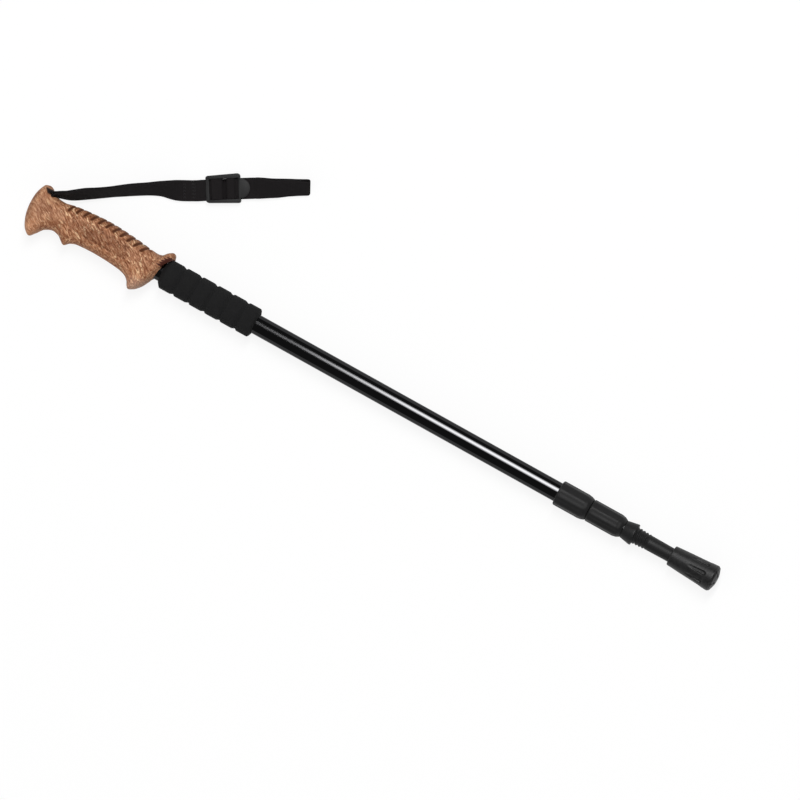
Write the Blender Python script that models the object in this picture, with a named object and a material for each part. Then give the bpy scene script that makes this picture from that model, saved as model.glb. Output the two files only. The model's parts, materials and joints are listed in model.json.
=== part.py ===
"""Telescopic walking stick with a shaped grip, a foam sleeve and a wrist strap.

It is collapsed and lies on its side. Lengths are in metres. +X runs up the stick from the sole of the rubber
foot, +Y is the finger side of the grip, and +Z points up from the surface on which the stick lies.
"""

import math
from bisect import bisect_right

import bmesh
import bpy
from mathutils import Matrix, Vector

MM = 0.001
TURN = 2 * math.pi

# Fits
GAP = 0.3 * MM
THREAD_GAP = 0.3 * MM

# Tubes
UPPER_TUBE_RADIUS = 9.0 * MM
TUBE_WALL = 0.7 * MM
UPPER_TUBE_BORE = UPPER_TUBE_RADIUS - TUBE_WALL
MIDDLE_TUBE_RADIUS = UPPER_TUBE_BORE - GAP
MIDDLE_TUBE_BORE = MIDDLE_TUBE_RADIUS - TUBE_WALL
LOWER_TUBE_RADIUS = MIDDLE_TUBE_BORE - GAP
LOWER_TUBE_BORE = LOWER_TUBE_RADIUS - TUBE_WALL
ROOM_ABOVE_MIDDLE_LOCK = 12.9 * MM
ROOM_ABOVE_LOWER_LOCK = 21.6 * MM

# Lengths that show on the collapsed stick, from the sole up
FOOT_LENGTH = 46.3 * MM
SHANK_SHOWN = 23.4 * MM
BASKET_THREAD_LENGTH = 13.9 * MM
FLANGE_LENGTH = 11.2 * MM
MIDDLE_COLLAR_LENGTH = 34.5 * MM
UPPER_COLLAR_LENGTH = 31.8 * MM
TUBE_SHOWN = 310.8 * MM
FOAM_LENGTH = 95.6 * MM
GRIP_LENGTH = 139.6 * MM

# Rubber foot
FOOT_MOUTH_RADIUS = 9.35 * MM
FOOT_SOLE_RADIUS = 12.4 * MM
FOOT_WALL_BELOW_TIP = 5.5 * MM
SOLE_FLAT_RADIUS = 4.6 * MM
SOLE_DOME = 3.4 * MM
SOLE_EDGE = 1.4 * MM
TREAD_WIDTH = 2.0 * MM
TREAD_DEPTH = 1.5 * MM
TREAD_COUNT = 6
RECESS_COUNT = 8
RECESS_START = 10.8 * MM
RECESS_LENGTH = 29.0 * MM
RECESS_HALF_WIDTHS = (1.6 * MM, 0.8 * MM)
RECESS_DEPTHS = (1.5 * MM, 0.25 * MM)
WASHER_RADIUS = 4.3 * MM
WASHER_THICKNESS = 1.2 * MM

# Tip ferrule and hard tip
SHANK_TOP_RADIUS = 6.9 * MM
SHANK_TAPER = 0.010
FERRULE_NOSE_LENGTH = 12.0 * MM
FERRULE_END = 13.0 * MM
FERRULE_NOSE_RADIUS = 4.2 * MM
FLANGE_EDGE = 1.3 * MM
FLANGE_FILLET = 0.7 * MM
SKIRT_WALL = 0.8 * MM
FLANGE_RADIUS = LOWER_TUBE_RADIUS + GAP + SKIRT_WALL + 1.95 * MM
SKIRT_DEPTH = 8.5 * MM
SPIGOT_ABOVE_SKIRT = 22.0 * MM
BASKET_THREAD_RADIUS = 7.7 * MM
BASKET_THREAD_TAPER = 0.055
BASKET_THREAD_DEPTH = 0.45 * MM
BASKET_THREAD_PITCH = 3.15 * MM
HARD_TIP_RADIUS = 1.9 * MM
HARD_TIP_STANDS_OUT = 4.5 * MM
HARD_TIP_IN_FERRULE = 16.0 * MM

# Collars
UPPER_COLLAR_RADIUS = UPPER_TUBE_RADIUS + 2.85 * MM
MIDDLE_COLLAR_RADIUS = MIDDLE_TUBE_RADIUS + 2.6 * MM
UPPER_COLLAR_END_RADIUS = UPPER_TUBE_RADIUS + 1.2 * MM
MIDDLE_COLLAR_END_RADIUS = MIDDLE_TUBE_RADIUS + 0.3 * MM
COLLAR_TAPER_LENGTH = 6.5 * MM
COLLAR_LIP = 3.0 * MM
COLLAR_CHAMFER = 0.8 * MM
COLLAR_FLUTES = 10
COLLAR_FLUTE_DEPTH = 0.25 * MM

# Twist locks
LOCK_STUD_RADIUS = 2.5 * MM
LOCK_THREAD_PITCH = 2.0 * MM
LOCK_THREAD_DEPTH = 0.35 * MM
LOCK_TURNS = 1.5
LOCK_PLUG_LENGTH = 24.0 * MM
LOCK_PLUG_FLANGE = 2.0 * MM
LOCK_STUD_IN_PLUG = 16.0 * MM
LOCK_SHOULDER_RADIUS = 4.2 * MM
LOCK_SHOULDER_THICKNESS = 1.5 * MM
EXPANDER_LENGTH = 30.0 * MM
EXPANDER_BASE = 3.0 * MM
EXPANDER_BASE_WALL = 1.3 * MM
EXPANDER_TOP_BORE = 4.8 * MM
EXPANDER_TOP_WALL = UPPER_TUBE_BORE - GAP - EXPANDER_TOP_BORE
EXPANDER_SLIT = 1.8 * MM
CONE_LENGTH = 14.0 * MM
CONE_ABOVE_BASE = 6.0 * MM
CONE_KEY_WIDTH = 1.0 * MM
STOP_NUT_THICKNESS = 3.4 * MM
STOP_NUT_ACROSS_FLATS = 10.0 * MM
STUD_PAST_NUT = 1.0 * MM

# Top plug
TOP_PLUG_LENGTH = 26.0 * MM
TOP_PLUG_FLANGE = 2.0 * MM
TUBE_TOP_BELOW_HEAD = 35.3 * MM

# Foam sleeve
FOAM_RADIUS = 14.0 * MM
FOAM_RINGS = 6
FOAM_GROOVE_WIDTH = 3.6 * MM
FOAM_GROOVE_DEPTH = 1.2 * MM
FOAM_TOP_CHAMFER = 3.4 * MM
FOAM_END_CHAMFER = 2.2 * MM

# Grip: sections up from its lower end, then down from its top, in millimetres, each as the back's place and
# reach, the front's place and reach, and the half thickness between the two sides
GRIP_LOWER_SECTIONS = (
    (0.0, 14.5, 11.3, 13.3, 13.6),
    (1.3, 18.3, 15.4, 20.8, 15.4),
    (3.9, 19.6, 20.8, 26.3, 16.2),
    (7.8, 17.6, 25.0, 28.3, 16.0),
    (12.1, 13.2, 27.3, 26.5, 15.0),
    (16.3, 12.2, 29.3, 23.0, 14.4),
    (24.3, 12.9, 33.7, 19.2, 14.2),
    (36.3, 14.5, 42.3, 16.9, 14.8),
    (67.3, 16.5, 68.1, 15.3, 15.4),
)
GRIP_UPPER_SECTIONS = (
    (54.3, 15.6, 55.3, 16.1, 15.2),
    (46.3, 14.9, 48.8, 18.3, 15.0),
    (41.8, 14.4, 44.2, 22.1, 14.8),
    (37.8, 13.8, 40.8, 20.1, 14.5),
    (33.8, 12.8, 36.3, 16.8, 14.2),
    (28.3, 11.8, 30.3, 15.5, 14.0),
    (22.3, 12.1, 22.6, 18.5, 14.4),
    (16.8, 14.3, 17.0, 25.4, 15.2),
    (9.0, 18.7, 12.2, 29.7, 16.2),
    (4.8, 17.6, 7.3, 26.2, 15.2),
    (2.0, 12.4, 3.0, 18.6, 11.8),
    (0.5, 7.2, 0.6, 9.6, 7.0),
    (0.0, 2.4, 0.0, 3.0, 2.5),
)
GRIP_OVER_FOAM = 4.4 * MM
GRIP_SIDES = 24
GRIP_RING_CHANGE = 3.4 * MM
GRIP_RING_SPACING = 1.8 * MM
GRIP_FULLNESS = 2.25
GRIP_RIM_WALL = 1.0 * MM
GRIP_RIM_SADDLE = 3.2 * MM
GRIP_GROOVES = 11
GRIP_GROOVE_START = 26.9 * MM
GRIP_GROOVE_PITCH = 7.45 * MM
GRIP_GROOVE_HALF_WIDTH = 1.5 * MM
GRIP_GROOVE_DEPTH = 1.2 * MM
GRIP_GROOVE_SLANT = 0.56

# Wrist strap: webbing in two layers, from a pin in the head of the grip
WEB_WIDTH = 19.0 * MM
WEB_THICKNESS = 1.3 * MM
WEB_PITCH = WEB_THICKNESS + GAP
WEB_BEND = WEB_THICKNESS / 2 + GAP
WEB_COLUMNS = 1
WEB_STEP = 5 * MM
SLOT_HALF_WIDTH = WEB_WIDTH / 2 + 0.9 * MM
SLOT_HALF_HEIGHT = WEB_PITCH / 2 + WEB_THICKNESS / 2 + 1.45 * MM
SLOT_LENGTH = 16.0 * MM
SLOT_FLARE = 3.6 * MM
SLOT_FLARE_DEPTH = 8.0 * MM
SLOT_FLARE_START = 6.3 * MM
PIN_RADIUS = 1.5 * MM
PIN_BELOW_HEAD = 9.5 * MM
PIN_BEHIND_AXIS = 10.3 * MM
PIN_IN_WALL = 1.2 * MM
PIN_TO_FOLD = 9.2 * MM
STRAP_AZIMUTH = math.radians(209.1)
STRAP_SETTLE_LENGTH = 55.0 * MM
STRAP_FOLD_RADIUS = WEB_PITCH / 2 + WEB_THICKNESS / 2 + 0.1 * MM

# The strap's middle line from the fold at the slot's mouth, in millimetres and degrees: along, across, roll
STRAP_LINE = (
    (0.0, 0.0, 90.0),
    (4.6, 0.0, 81.0),
    (10.0, -0.5, 76.0),
    (15.4, -0.4, 72.8),
    (20.7, 0.5, 69.2),
    (26.1, 1.0, 67.6),
    (36.9, 1.9, 69.6),
    (47.7, 3.0, 70.3),
    (58.5, 4.1, 67.0),
    (69.2, 5.0, 64.5),
    (80.0, 5.5, 63.0),
    (90.8, 5.8, 55.9),
    (96.2, 5.5, 48.0),
    (101.6, 4.9, 35.6),
    (107.0, 4.5, 22.0),
    (112.3, 4.3, 12.0),
    (124.0, 4.2, 2.0),
    (130.0, 4.5, 0.0),
    (175.0, 6.3, 0.0),
    (180.0, 6.4, 17.0),
    (185.0, 6.4, 28.0),
    (193.2, 6.3, 38.5),
    (209.3, 6.3, 44.0),
    (221.0, 6.3, 53.0),
    (231.0, 6.3, 58.0),
)
BIGHT_END = 227.3 * MM
BIGHT_RADIUS = 1.5 * MM
BIGHT_OPENS = 14.0 * MM
TAIL_END = 196.0 * MM
SEWN_END = 126.0 * MM
STEP_LENGTH = 11.0 * MM

# Buckle, its places along the strap's middle line
BUCKLE_START = 132.9 * MM
BUCKLE_END_BAR = 2.8 * MM
SEWN_BAR_START = 139.1 * MM
SEWN_BAR_LENGTH = 7.6 * MM
TURN_BAR_START = 152.9 * MM
TURN_BAR_LENGTH = 4.5 * MM
BUCKLE_TAB_START = 164.1 * MM
BUCKLE_TAB_BAR = 1.3 * MM
BUCKLE_TAB_LENGTH = 8.5 * MM
BUCKLE_TAB_HALF_WIDTH = 8.75 * MM
BUCKLE_TAB_INSET = 0.2 * MM
BUCKLE_BAR_SETBACK = 0.2 * MM
BUCKLE_BAR_THICKNESS = 2.2 * MM
BUCKLE_RAILS_AT_START = (1.5 * MM, 2.4 * MM)
BUCKLE_RAILS_AT_END = (2.9 * MM, 3.7 * MM)
BUCKLE_RAIL_GAP = 0.5 * MM
BUCKLE_RAIL_DROP = 2.6 * MM
BUCKLE_ARCH = 0.8 * MM
BUCKLE_CORNER = 2.6 * MM
BUCKLE_FOOT_CHAMFER = 1.2 * MM

# Places along the collapsed stick, from the dimensions above
X_THREAD = FOOT_LENGTH + SHANK_SHOWN
X_FLANGE = X_THREAD + BASKET_THREAD_LENGTH
X_FERRULE_TOP = X_FLANGE + FLANGE_LENGTH
X_MIDDLE_COLLAR = X_FERRULE_TOP + GAP
X_UPPER_COLLAR = X_MIDDLE_COLLAR + MIDDLE_COLLAR_LENGTH + GAP
X_FOAM = X_UPPER_COLLAR + UPPER_COLLAR_LENGTH + TUBE_SHOWN
X_GRIP = X_FOAM + FOAM_LENGTH - GRIP_OVER_FOAM
X_HEAD = X_GRIP + GRIP_LENGTH
X_UPPER_TUBE = X_UPPER_COLLAR + COLLAR_LIP + GAP
X_UPPER_TUBE_TOP = X_HEAD - TUBE_TOP_BELOW_HEAD
X_MIDDLE_TUBE = X_MIDDLE_COLLAR + COLLAR_LIP + GAP
X_LOWER_TUBE = X_FERRULE_TOP - SKIRT_DEPTH + GAP
PLUG_TOP_ABOVE_TUBE = GAP + LOCK_PLUG_FLANGE
EXPANDER_ABOVE_TUBE = PLUG_TOP_ABOVE_TUBE + GAP + LOCK_SHOULDER_THICKNESS + GAP
NUT_ABOVE_TUBE = EXPANDER_ABOVE_TUBE + EXPANDER_LENGTH + GAP
LOCK_HEIGHT = NUT_ABOVE_TUBE + STOP_NUT_THICKNESS + STUD_PAST_NUT
X_MIDDLE_TUBE_TOP = X_UPPER_TUBE_TOP - TOP_PLUG_LENGTH - ROOM_ABOVE_MIDDLE_LOCK - LOCK_HEIGHT
X_LOWER_TUBE_TOP = X_MIDDLE_TUBE_TOP - LOCK_PLUG_LENGTH - ROOM_ABOVE_LOWER_LOCK - LOCK_HEIGHT
SURFACE_Z = -max(row[4] for row in GRIP_LOWER_SECTIONS + GRIP_UPPER_SECTIONS) * MM
PIN_PLACE = Vector((X_HEAD - PIN_BELOW_HEAD, -PIN_BEHIND_AXIS, 0))
STRAP_WAY = Vector((math.cos(STRAP_AZIMUTH), math.sin(STRAP_AZIMUTH), 0))
FOLD_PLACE = PIN_PLACE + PIN_TO_FOLD * STRAP_WAY


def clear_scene():
    for old in list(bpy.data.objects):
        bpy.data.objects.remove(old, do_unlink=True)


def material(name, colour, roughness, metallic=0.0):
    made = bpy.data.materials.new(name)
    made.use_nodes = True
    shader = made.node_tree.nodes["Principled BSDF"]
    shader.inputs["Base Color"].default_value = (*colour, 1.0)
    shader.inputs["Roughness"].default_value = roughness
    shader.inputs["Metallic"].default_value = metallic
    return made


def empty(name, place, turn=0.0):
    """A joint's axis, turned about Z, that carries the pieces of one moving body."""
    axis = bpy.data.objects.new(name, None)
    axis.location = place
    axis.rotation_euler = (0, 0, turn)
    bpy.context.collection.objects.link(axis)
    return axis


def piece(name, shape, place=(0, 0, 0), finish=None, carrier=None, sharp=35.0):
    """One sub-part from a closed bmesh, with its faces outwards, placed in its carrier's frame."""
    bmesh.ops.remove_doubles(shape, verts=shape.verts, dist=1e-7)
    bmesh.ops.recalc_face_normals(shape, faces=shape.faces)
    mesh = bpy.data.meshes.new(name)
    shape.to_mesh(mesh)
    shape.free()
    mesh.shade_smooth()
    mesh.set_sharp_from_angle(angle=math.radians(sharp))
    if finish:
        mesh.materials.append(finish)
    made = bpy.data.objects.new(name, mesh)
    bpy.context.collection.objects.link(made)
    made.location = place
    made.parent = carrier
    return made


def cutter(name, shape, place=(0, 0, 0), carrier=None):
    made = piece(name, shape, place, carrier=carrier)
    made.hide_render = True
    made.display_type = "WIRE"
    return made


def combine(target, other, operation):
    step = target.modifiers.new(other.name, "BOOLEAN")
    step.operation = operation
    step.solver = "EXACT"
    step.object = other


def turned(profile, sides, radius_at=None):
    """A shape turned about X from (x, radius) points. Points on the axis at both ends leave it open there."""
    shape = bmesh.new()
    points = [shape.verts.new((x, 0, r)) for x, r in profile]
    pairs = list(zip(points, points[1:]))
    if profile[0][1] > 0:
        pairs.append((points[-1], points[0]))
    edges = [shape.edges.new(pair) for pair in pairs]
    bmesh.ops.spin(shape, geom=points + edges, cent=(0, 0, 0), axis=(1, 0, 0), angle=TURN, steps=sides,
                   use_merge=True)
    bmesh.ops.remove_doubles(shape, verts=shape.verts, dist=1e-7)
    if radius_at:
        for vert in shape.verts:
            radius = math.hypot(vert.co.y, vert.co.z)
            if radius > 0:
                wanted = radius_at(vert.co.x, math.atan2(vert.co.z, vert.co.y), radius)
                vert.co.yz *= wanted / radius
    return shape


def lofted(rings):
    """A closed shape through rings of equally many points, with a face across each end."""
    shape = bmesh.new()
    rows = [[shape.verts.new(point) for point in ring] for ring in rings]
    for low, high in zip(rows, rows[1:]):
        for j in range(len(low)):
            k = (j + 1) % len(low)
            shape.faces.new((low[j], low[k], high[k], high[j]))
    shape.faces.new(rows[0])
    shape.faces.new(rows[-1])
    return shape


def prism(outline, low, high):
    """An outline in the XY plane, extruded from z = low to z = high."""
    return lofted([[(x, y, z) for x, y in outline] for z in (low, high)])


def block(low, high):
    outline = ((low[0], low[1]), (high[0], low[1]), (high[0], high[1]), (low[0], high[1]))
    return prism(outline, low[2], high[2])


def arc(centre, radius, start, end, steps):
    """Points on a circle, from one angle to another in degrees."""
    turns = [math.radians(start + (end - start) * i / steps) for i in range(steps + 1)]
    return [(centre[0] + radius * math.cos(a), centre[1] + radius * math.sin(a)) for a in turns]


def ease(x, start, end):
    """Rise smoothly from 0 at start to 1 at end."""
    share = min(max((x - start) / (end - start), 0.0), 1.0)
    return share * share * (3 - 2 * share)


def smooth_table(rows):
    """Read the columns of rows at any value of the first column, on curves that keep each row's peaks."""
    keys = [row[0] for row in rows]

    def slope(i, column):
        if i in (0, len(rows) - 1):
            a, b = (0, 1) if i == 0 else (-2, -1)
            return (rows[b][column] - rows[a][column]) / (keys[b] - keys[a])
        before, after = keys[i] - keys[i - 1], keys[i + 1] - keys[i]
        below = (rows[i][column] - rows[i - 1][column]) / before
        above = (rows[i + 1][column] - rows[i][column]) / after
        if below * above <= 0:
            return 0.0
        return 3 * (before + after) / ((2 * after + before) / below + (after + 2 * before) / above)

    def read(key):
        i = min(max(bisect_right(keys, key) - 1, 0), len(keys) - 2)
        span = keys[i + 1] - keys[i]
        t = (key - keys[i]) / span
        out = []
        for column in range(1, len(rows[0])):
            low, high = rows[i][column], rows[i + 1][column]
            rise = (high - low) * t * t * (3 - 2 * t)
            lean = slope(i, column) * t * (1 - t) ** 2 - slope(i + 1, column) * t * t * (1 - t)
            out.append(low + rise + lean * span)
        return out

    return read


def rounded_path(points, radius, steps=3):
    """A path with each inner corner replaced by an arc, as points in a plane."""
    path = [Vector(points[0])]
    for before, corner, after in zip(points, points[1:], points[2:]):
        corner = Vector(corner)
        arrive = (corner - Vector(before)).normalized()
        leave = (Vector(after) - corner).normalized()
        turn = arrive.angle(leave)
        if turn < 1e-4:
            continue
        start = corner - arrive * radius * math.tan(turn / 2)
        side = arrive.cross(leave)
        inwards = Vector((-arrive.y, arrive.x)) * math.copysign(1, side)
        centre = start + inwards * radius
        for i in range(steps + 1):
            spin = Matrix.Rotation(math.copysign(turn * i / steps, side), 2)
            path.append(centre + spin @ (start - centre))
    path.append(Vector(points[-1]))
    return path


# Rubber foot, its washer and the hard tip inside it

def shank_radius(x):
    """The ferrule's tapered shank, which the rubber foot's bore follows."""
    return SHANK_TOP_RADIUS - (X_THREAD - x) * SHANK_TAPER


def foot_skin(x):
    """The radius of the rubber foot's side between its sole and its mouth."""
    share = (x - SOLE_DOME) / (FOOT_LENGTH - SOLE_DOME)
    return FOOT_SOLE_RADIUS + (FOOT_MOUTH_RADIUS - FOOT_SOLE_RADIUS) * share


def rubber_foot(finish, carrier):
    floor = FOOT_WALL_BELOW_TIP
    washer_top = floor + GAP + WASHER_THICKNESS
    nose = FERRULE_END + FERRULE_NOSE_LENGTH
    profile = [
        (0, 0),
        (0, SOLE_FLAT_RADIUS),
        (SOLE_DOME * 0.22, SOLE_FLAT_RADIUS + 2.6 * MM),
        (SOLE_DOME * 0.62, FOOT_SOLE_RADIUS - SOLE_EDGE),
        (SOLE_DOME, FOOT_SOLE_RADIUS - 0.2 * MM),
        (SOLE_DOME + SOLE_EDGE, FOOT_SOLE_RADIUS),
        (FOOT_LENGTH - 0.8 * MM, FOOT_MOUTH_RADIUS),
        (FOOT_LENGTH, FOOT_MOUTH_RADIUS - 0.8 * MM),
        (FOOT_LENGTH, shank_radius(FOOT_LENGTH) + GAP),
        (nose, shank_radius(nose) + GAP),
        (FERRULE_END, WASHER_RADIUS + 2 * GAP),
        (washer_top, WASHER_RADIUS + GAP),
        (floor, WASHER_RADIUS + GAP),
        (floor, 0),
    ]
    foot = piece("rubber_foot", turned(profile, 32), finish=finish, carrier=carrier)
    for i in range(RECESS_COUNT):
        turn = Matrix.Rotation(TURN * i / RECESS_COUNT, 4, "X")
        (wide, narrow), (deep, shallow) = RECESS_HALF_WIDTHS, RECESS_DEPTHS
        low, high = RECESS_START + wide, RECESS_START + RECESS_LENGTH - narrow
        outline = arc((high, 0), narrow, -90, 90, 4) + arc((low, 0), wide, 90, 270, 4)
        shape = prism(outline, 0, 2 * FOOT_SOLE_RADIUS)
        for vert in shape.verts:
            if vert.co.z == 0:
                share = (vert.co.x - RECESS_START) / RECESS_LENGTH
                vert.co.z = foot_skin(vert.co.x) - deep - (shallow - deep) * share
        bmesh.ops.transform(shape, matrix=turn, verts=shape.verts)
        combine(foot, cutter(f"recess_{i}", shape, carrier=carrier), "DIFFERENCE")
    for i in range(TREAD_COUNT):
        turn = Matrix.Rotation(TURN * (i + 0.5) / TREAD_COUNT, 4, "X")
        reach = FOOT_SOLE_RADIUS + 1 * MM
        shape = block((-1 * MM, -TREAD_WIDTH / 2, SOLE_FLAT_RADIUS + 1 * MM),
                      (SOLE_DOME * 0.3 + TREAD_DEPTH, TREAD_WIDTH / 2, reach))
        bmesh.ops.transform(shape, matrix=turn, verts=shape.verts)
        combine(foot, cutter(f"tread_{i}", shape, carrier=carrier), "DIFFERENCE")


def foot_washer():
    return turned([(0, 0), (0, WASHER_RADIUS), (WASHER_THICKNESS, WASHER_RADIUS), (WASHER_THICKNESS, 0)], 24)


def hard_tip():
    """A pin with a dished end that bites into the ground, from its end up."""
    length = HARD_TIP_STANDS_OUT + HARD_TIP_IN_FERRULE
    return turned([
        (0.7 * MM, 0),
        (0, HARD_TIP_RADIUS * 0.75),
        (0.5 * MM, HARD_TIP_RADIUS),
        (length, HARD_TIP_RADIUS),
        (length, 0),
    ], 20)


def tip_ferrule():
    """The ferrule over and inside the lower tube's end, from the nose up to its spigot."""
    skirt_bore = LOWER_TUBE_RADIUS + GAP
    skirt = skirt_bore + SKIRT_WALL
    groove = X_FERRULE_TOP - SKIRT_DEPTH
    spigot = LOWER_TUBE_BORE - GAP
    nose = FERRULE_END + FERRULE_NOSE_LENGTH
    tip_bore = HARD_TIP_RADIUS + GAP
    tip_floor = FERRULE_END + HARD_TIP_IN_FERRULE + GAP
    step = BASKET_THREAD_PITCH / 4
    thread_steps = int((BASKET_THREAD_LENGTH - 2 * FLANGE_FILLET) / step)
    thread = []
    for i in range(thread_steps + 1):
        x = X_THREAD + i * step
        thread.append((x, BASKET_THREAD_RADIUS - (X_FLANGE - x) * BASKET_THREAD_TAPER))

    def threaded(x, angle, radius):
        if radius < skirt_bore - 1 * MM or not X_THREAD <= x < X_FLANGE - FLANGE_FILLET:
            return radius
        fade = ease(x, X_THREAD, X_THREAD + step)
        wave = math.cos(TURN * (x / BASKET_THREAD_PITCH) - angle)
        return radius + fade * BASKET_THREAD_DEPTH * (wave - 0.2)

    profile = [
        (tip_floor, 0),
        (tip_floor, tip_bore),
        (FERRULE_END, tip_bore),
        (FERRULE_END, FERRULE_NOSE_RADIUS),
        (nose, shank_radius(nose)),
        (X_THREAD - 0.6 * MM, shank_radius(X_THREAD)),
        *thread,
        (X_FLANGE - FLANGE_FILLET, BASKET_THREAD_RADIUS),
        (X_FLANGE, BASKET_THREAD_RADIUS + FLANGE_FILLET),
        (X_FLANGE, FLANGE_RADIUS - 0.3 * MM),
        (X_FLANGE + 0.3 * MM, FLANGE_RADIUS),
        (X_FLANGE + FLANGE_EDGE, FLANGE_RADIUS),
        (X_FERRULE_TOP - 0.6 * MM, skirt + 0.1 * MM),
        (X_FERRULE_TOP, skirt - 0.3 * MM),
        (X_FERRULE_TOP, skirt_bore),
        (groove, skirt_bore),
        (groove, spigot),
        (X_FERRULE_TOP + SPIGOT_ABOVE_SKIRT - 1 * MM, spigot),
        (X_FERRULE_TOP + SPIGOT_ABOVE_SKIRT, spigot - 1 * MM),
        (X_FERRULE_TOP + SPIGOT_ABOVE_SKIRT, 0),
    ]
    return turned(profile, 24, threaded)


# Tubes and collars

def tube(radius, length, sides=32):
    bore = radius - TUBE_WALL
    return turned([(0, bore), (0, radius), (length, radius), (length, bore)], sides)


def collar(length, radius, end_radius, seat_radius, lip_radius):
    """A collar over a tube's lower end. Its lip guides the next tube."""
    taper = COLLAR_TAPER_LENGTH
    top = length - COLLAR_CHAMFER
    profile = [
        (0, end_radius - 0.3 * MM),
        (0.3 * MM, end_radius),
        (taper * 0.45, end_radius + (radius - end_radius) * 0.68),
        (taper, radius),
        (top - 1 * MM, radius),
        (top, radius),
        (length, radius - COLLAR_CHAMFER),
        (length, seat_radius),
        (COLLAR_LIP, seat_radius),
        (COLLAR_LIP, lip_radius),
        (0, lip_radius),
    ]

    def fluted(x, angle, now):
        if now < seat_radius + 0.6 * MM or not taper * 0.3 < x < top - 0.5 * MM:
            return now
        return now - COLLAR_FLUTE_DEPTH * (1 - math.cos(COLLAR_FLUTES * angle)) / 2

    return turned(profile, COLLAR_FLUTES * 3, fluted)


# Twist locks

def lock_stud(length, shoulder):
    """A stud with a helical thread above its shoulder, from its lower end up."""
    step = LOCK_THREAD_PITCH / 3
    start = shoulder + LOCK_SHOULDER_THICKNESS
    thread_start = start + EXPANDER_BASE + CONE_ABOVE_BASE / 3
    count = int((CONE_LENGTH + CONE_ABOVE_BASE) / step)
    thread = [(thread_start + i * step, LOCK_STUD_RADIUS - LOCK_THREAD_DEPTH / 2) for i in range(count + 1)]

    def threaded(x, angle, radius):
        if not thread_start + step / 2 < x < thread_start + (count - 0.5) * step:
            return radius
        return radius + LOCK_THREAD_DEPTH / 2 * math.cos(TURN * x / LOCK_THREAD_PITCH - angle)

    profile = [
        (0, 0),
        (0, LOCK_STUD_RADIUS - 0.4 * MM),
        (0.4 * MM, LOCK_STUD_RADIUS),
        (shoulder, LOCK_STUD_RADIUS),
        (shoulder, LOCK_SHOULDER_RADIUS),
        (start, LOCK_SHOULDER_RADIUS),
        (start, LOCK_STUD_RADIUS),
        *thread,
        (length, LOCK_STUD_RADIUS - 0.6 * MM),
        (length, 0),
    ]
    return turned(profile, 10, threaded)


def end_plug(bore, flange_radius):
    """A plug in a tube's end, from its lower end up, with a blind hole for the stud."""
    top = LOCK_PLUG_LENGTH + GAP + LOCK_PLUG_FLANGE
    hole = LOCK_STUD_RADIUS + GAP
    floor = top - LOCK_STUD_IN_PLUG - GAP
    spigot = bore - GAP
    return turned([
        (0, 0),
        (0, spigot - 0.8 * MM),
        (0.8 * MM, spigot),
        (top - LOCK_PLUG_FLANGE, spigot),
        (top - LOCK_PLUG_FLANGE, flange_radius),
        (top, flange_radius),
        (top, hole),
        (floor, hole),
        (floor, 0),
    ], 20)


def expander_bore(x, radius):
    """The expander's tapered seat, at a height above its base."""
    low, high = radius - EXPANDER_BASE_WALL, radius - EXPANDER_TOP_WALL
    return low + (high - low) * (x - EXPANDER_BASE) / (EXPANDER_LENGTH - EXPANDER_BASE)


def expander(name, radius, place, finish, carrier):
    """A sleeve, split from its top almost to its base, which the cone spreads against the outer tube."""
    hole = LOCK_STUD_RADIUS + GAP
    profile = [
        (0, hole),
        (0, radius - 0.5 * MM),
        (0.5 * MM, radius),
        (EXPANDER_LENGTH - 1 * MM, radius),
        (EXPANDER_LENGTH, radius - 0.7 * MM),
        (EXPANDER_LENGTH, expander_bore(EXPANDER_LENGTH, radius)),
        (EXPANDER_BASE, expander_bore(EXPANDER_BASE, radius)),
        (EXPANDER_BASE, hole),
    ]
    sleeve = piece(name, turned(profile, 24), place, finish, carrier)
    reach = radius + 1 * MM
    slit = block((EXPANDER_BASE + 1 * MM, -EXPANDER_SLIT / 2, -reach),
                 (EXPANDER_LENGTH + 1 * MM, EXPANDER_SLIT / 2, reach))
    combine(sleeve, cutter(name + "_slit", slit, place, carrier), "DIFFERENCE")
    return sleeve


def cone_nut(name, radius, place, finish, carrier):
    """A cone on the stud's thread, with two keys that stand in the expander's slit."""
    low = EXPANDER_BASE + CONE_ABOVE_BASE
    high = low + CONE_LENGTH
    hole = LOCK_STUD_RADIUS + THREAD_GAP
    profile = [
        (low, hole),
        (low, expander_bore(low, radius) - GAP),
        (high, expander_bore(high, radius) - GAP),
        (high, hole),
    ]
    cone = piece(name, turned(profile, 20), place, finish, carrier)
    for side in (-1, 1):
        near, far = sorted((side * (hole + 0.5 * MM), side * (radius - 0.6 * MM)))
        key = block((low + 1 * MM, -CONE_KEY_WIDTH / 2, near), (high - 1 * MM, CONE_KEY_WIDTH / 2, far))
        combine(cone, cutter(f"{name}_key_{side}", key, place, carrier), "UNION")
    return cone


def stop_nut():
    """A hexagon nut, turned with six sides, from its lower face up."""
    corner = STOP_NUT_ACROSS_FLATS / 2 / math.cos(math.pi / 6)
    hole = LOCK_STUD_RADIUS + GAP
    shape = bmesh.new()
    rings = []
    for x in (0, STOP_NUT_THICKNESS):
        for radius in (corner, hole):
            ring = [shape.verts.new((x, radius * math.sin(TURN * i / 6), radius * math.cos(TURN * i / 6)))
                    for i in range(6)]
            rings.append(ring)
    for a, b in ((0, 1), (1, 3), (3, 2), (2, 0)):
        for i in range(6):
            j = (i + 1) % 6
            shape.faces.new((rings[a][i], rings[a][j], rings[b][j], rings[b][i]))
    return shape


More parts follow.
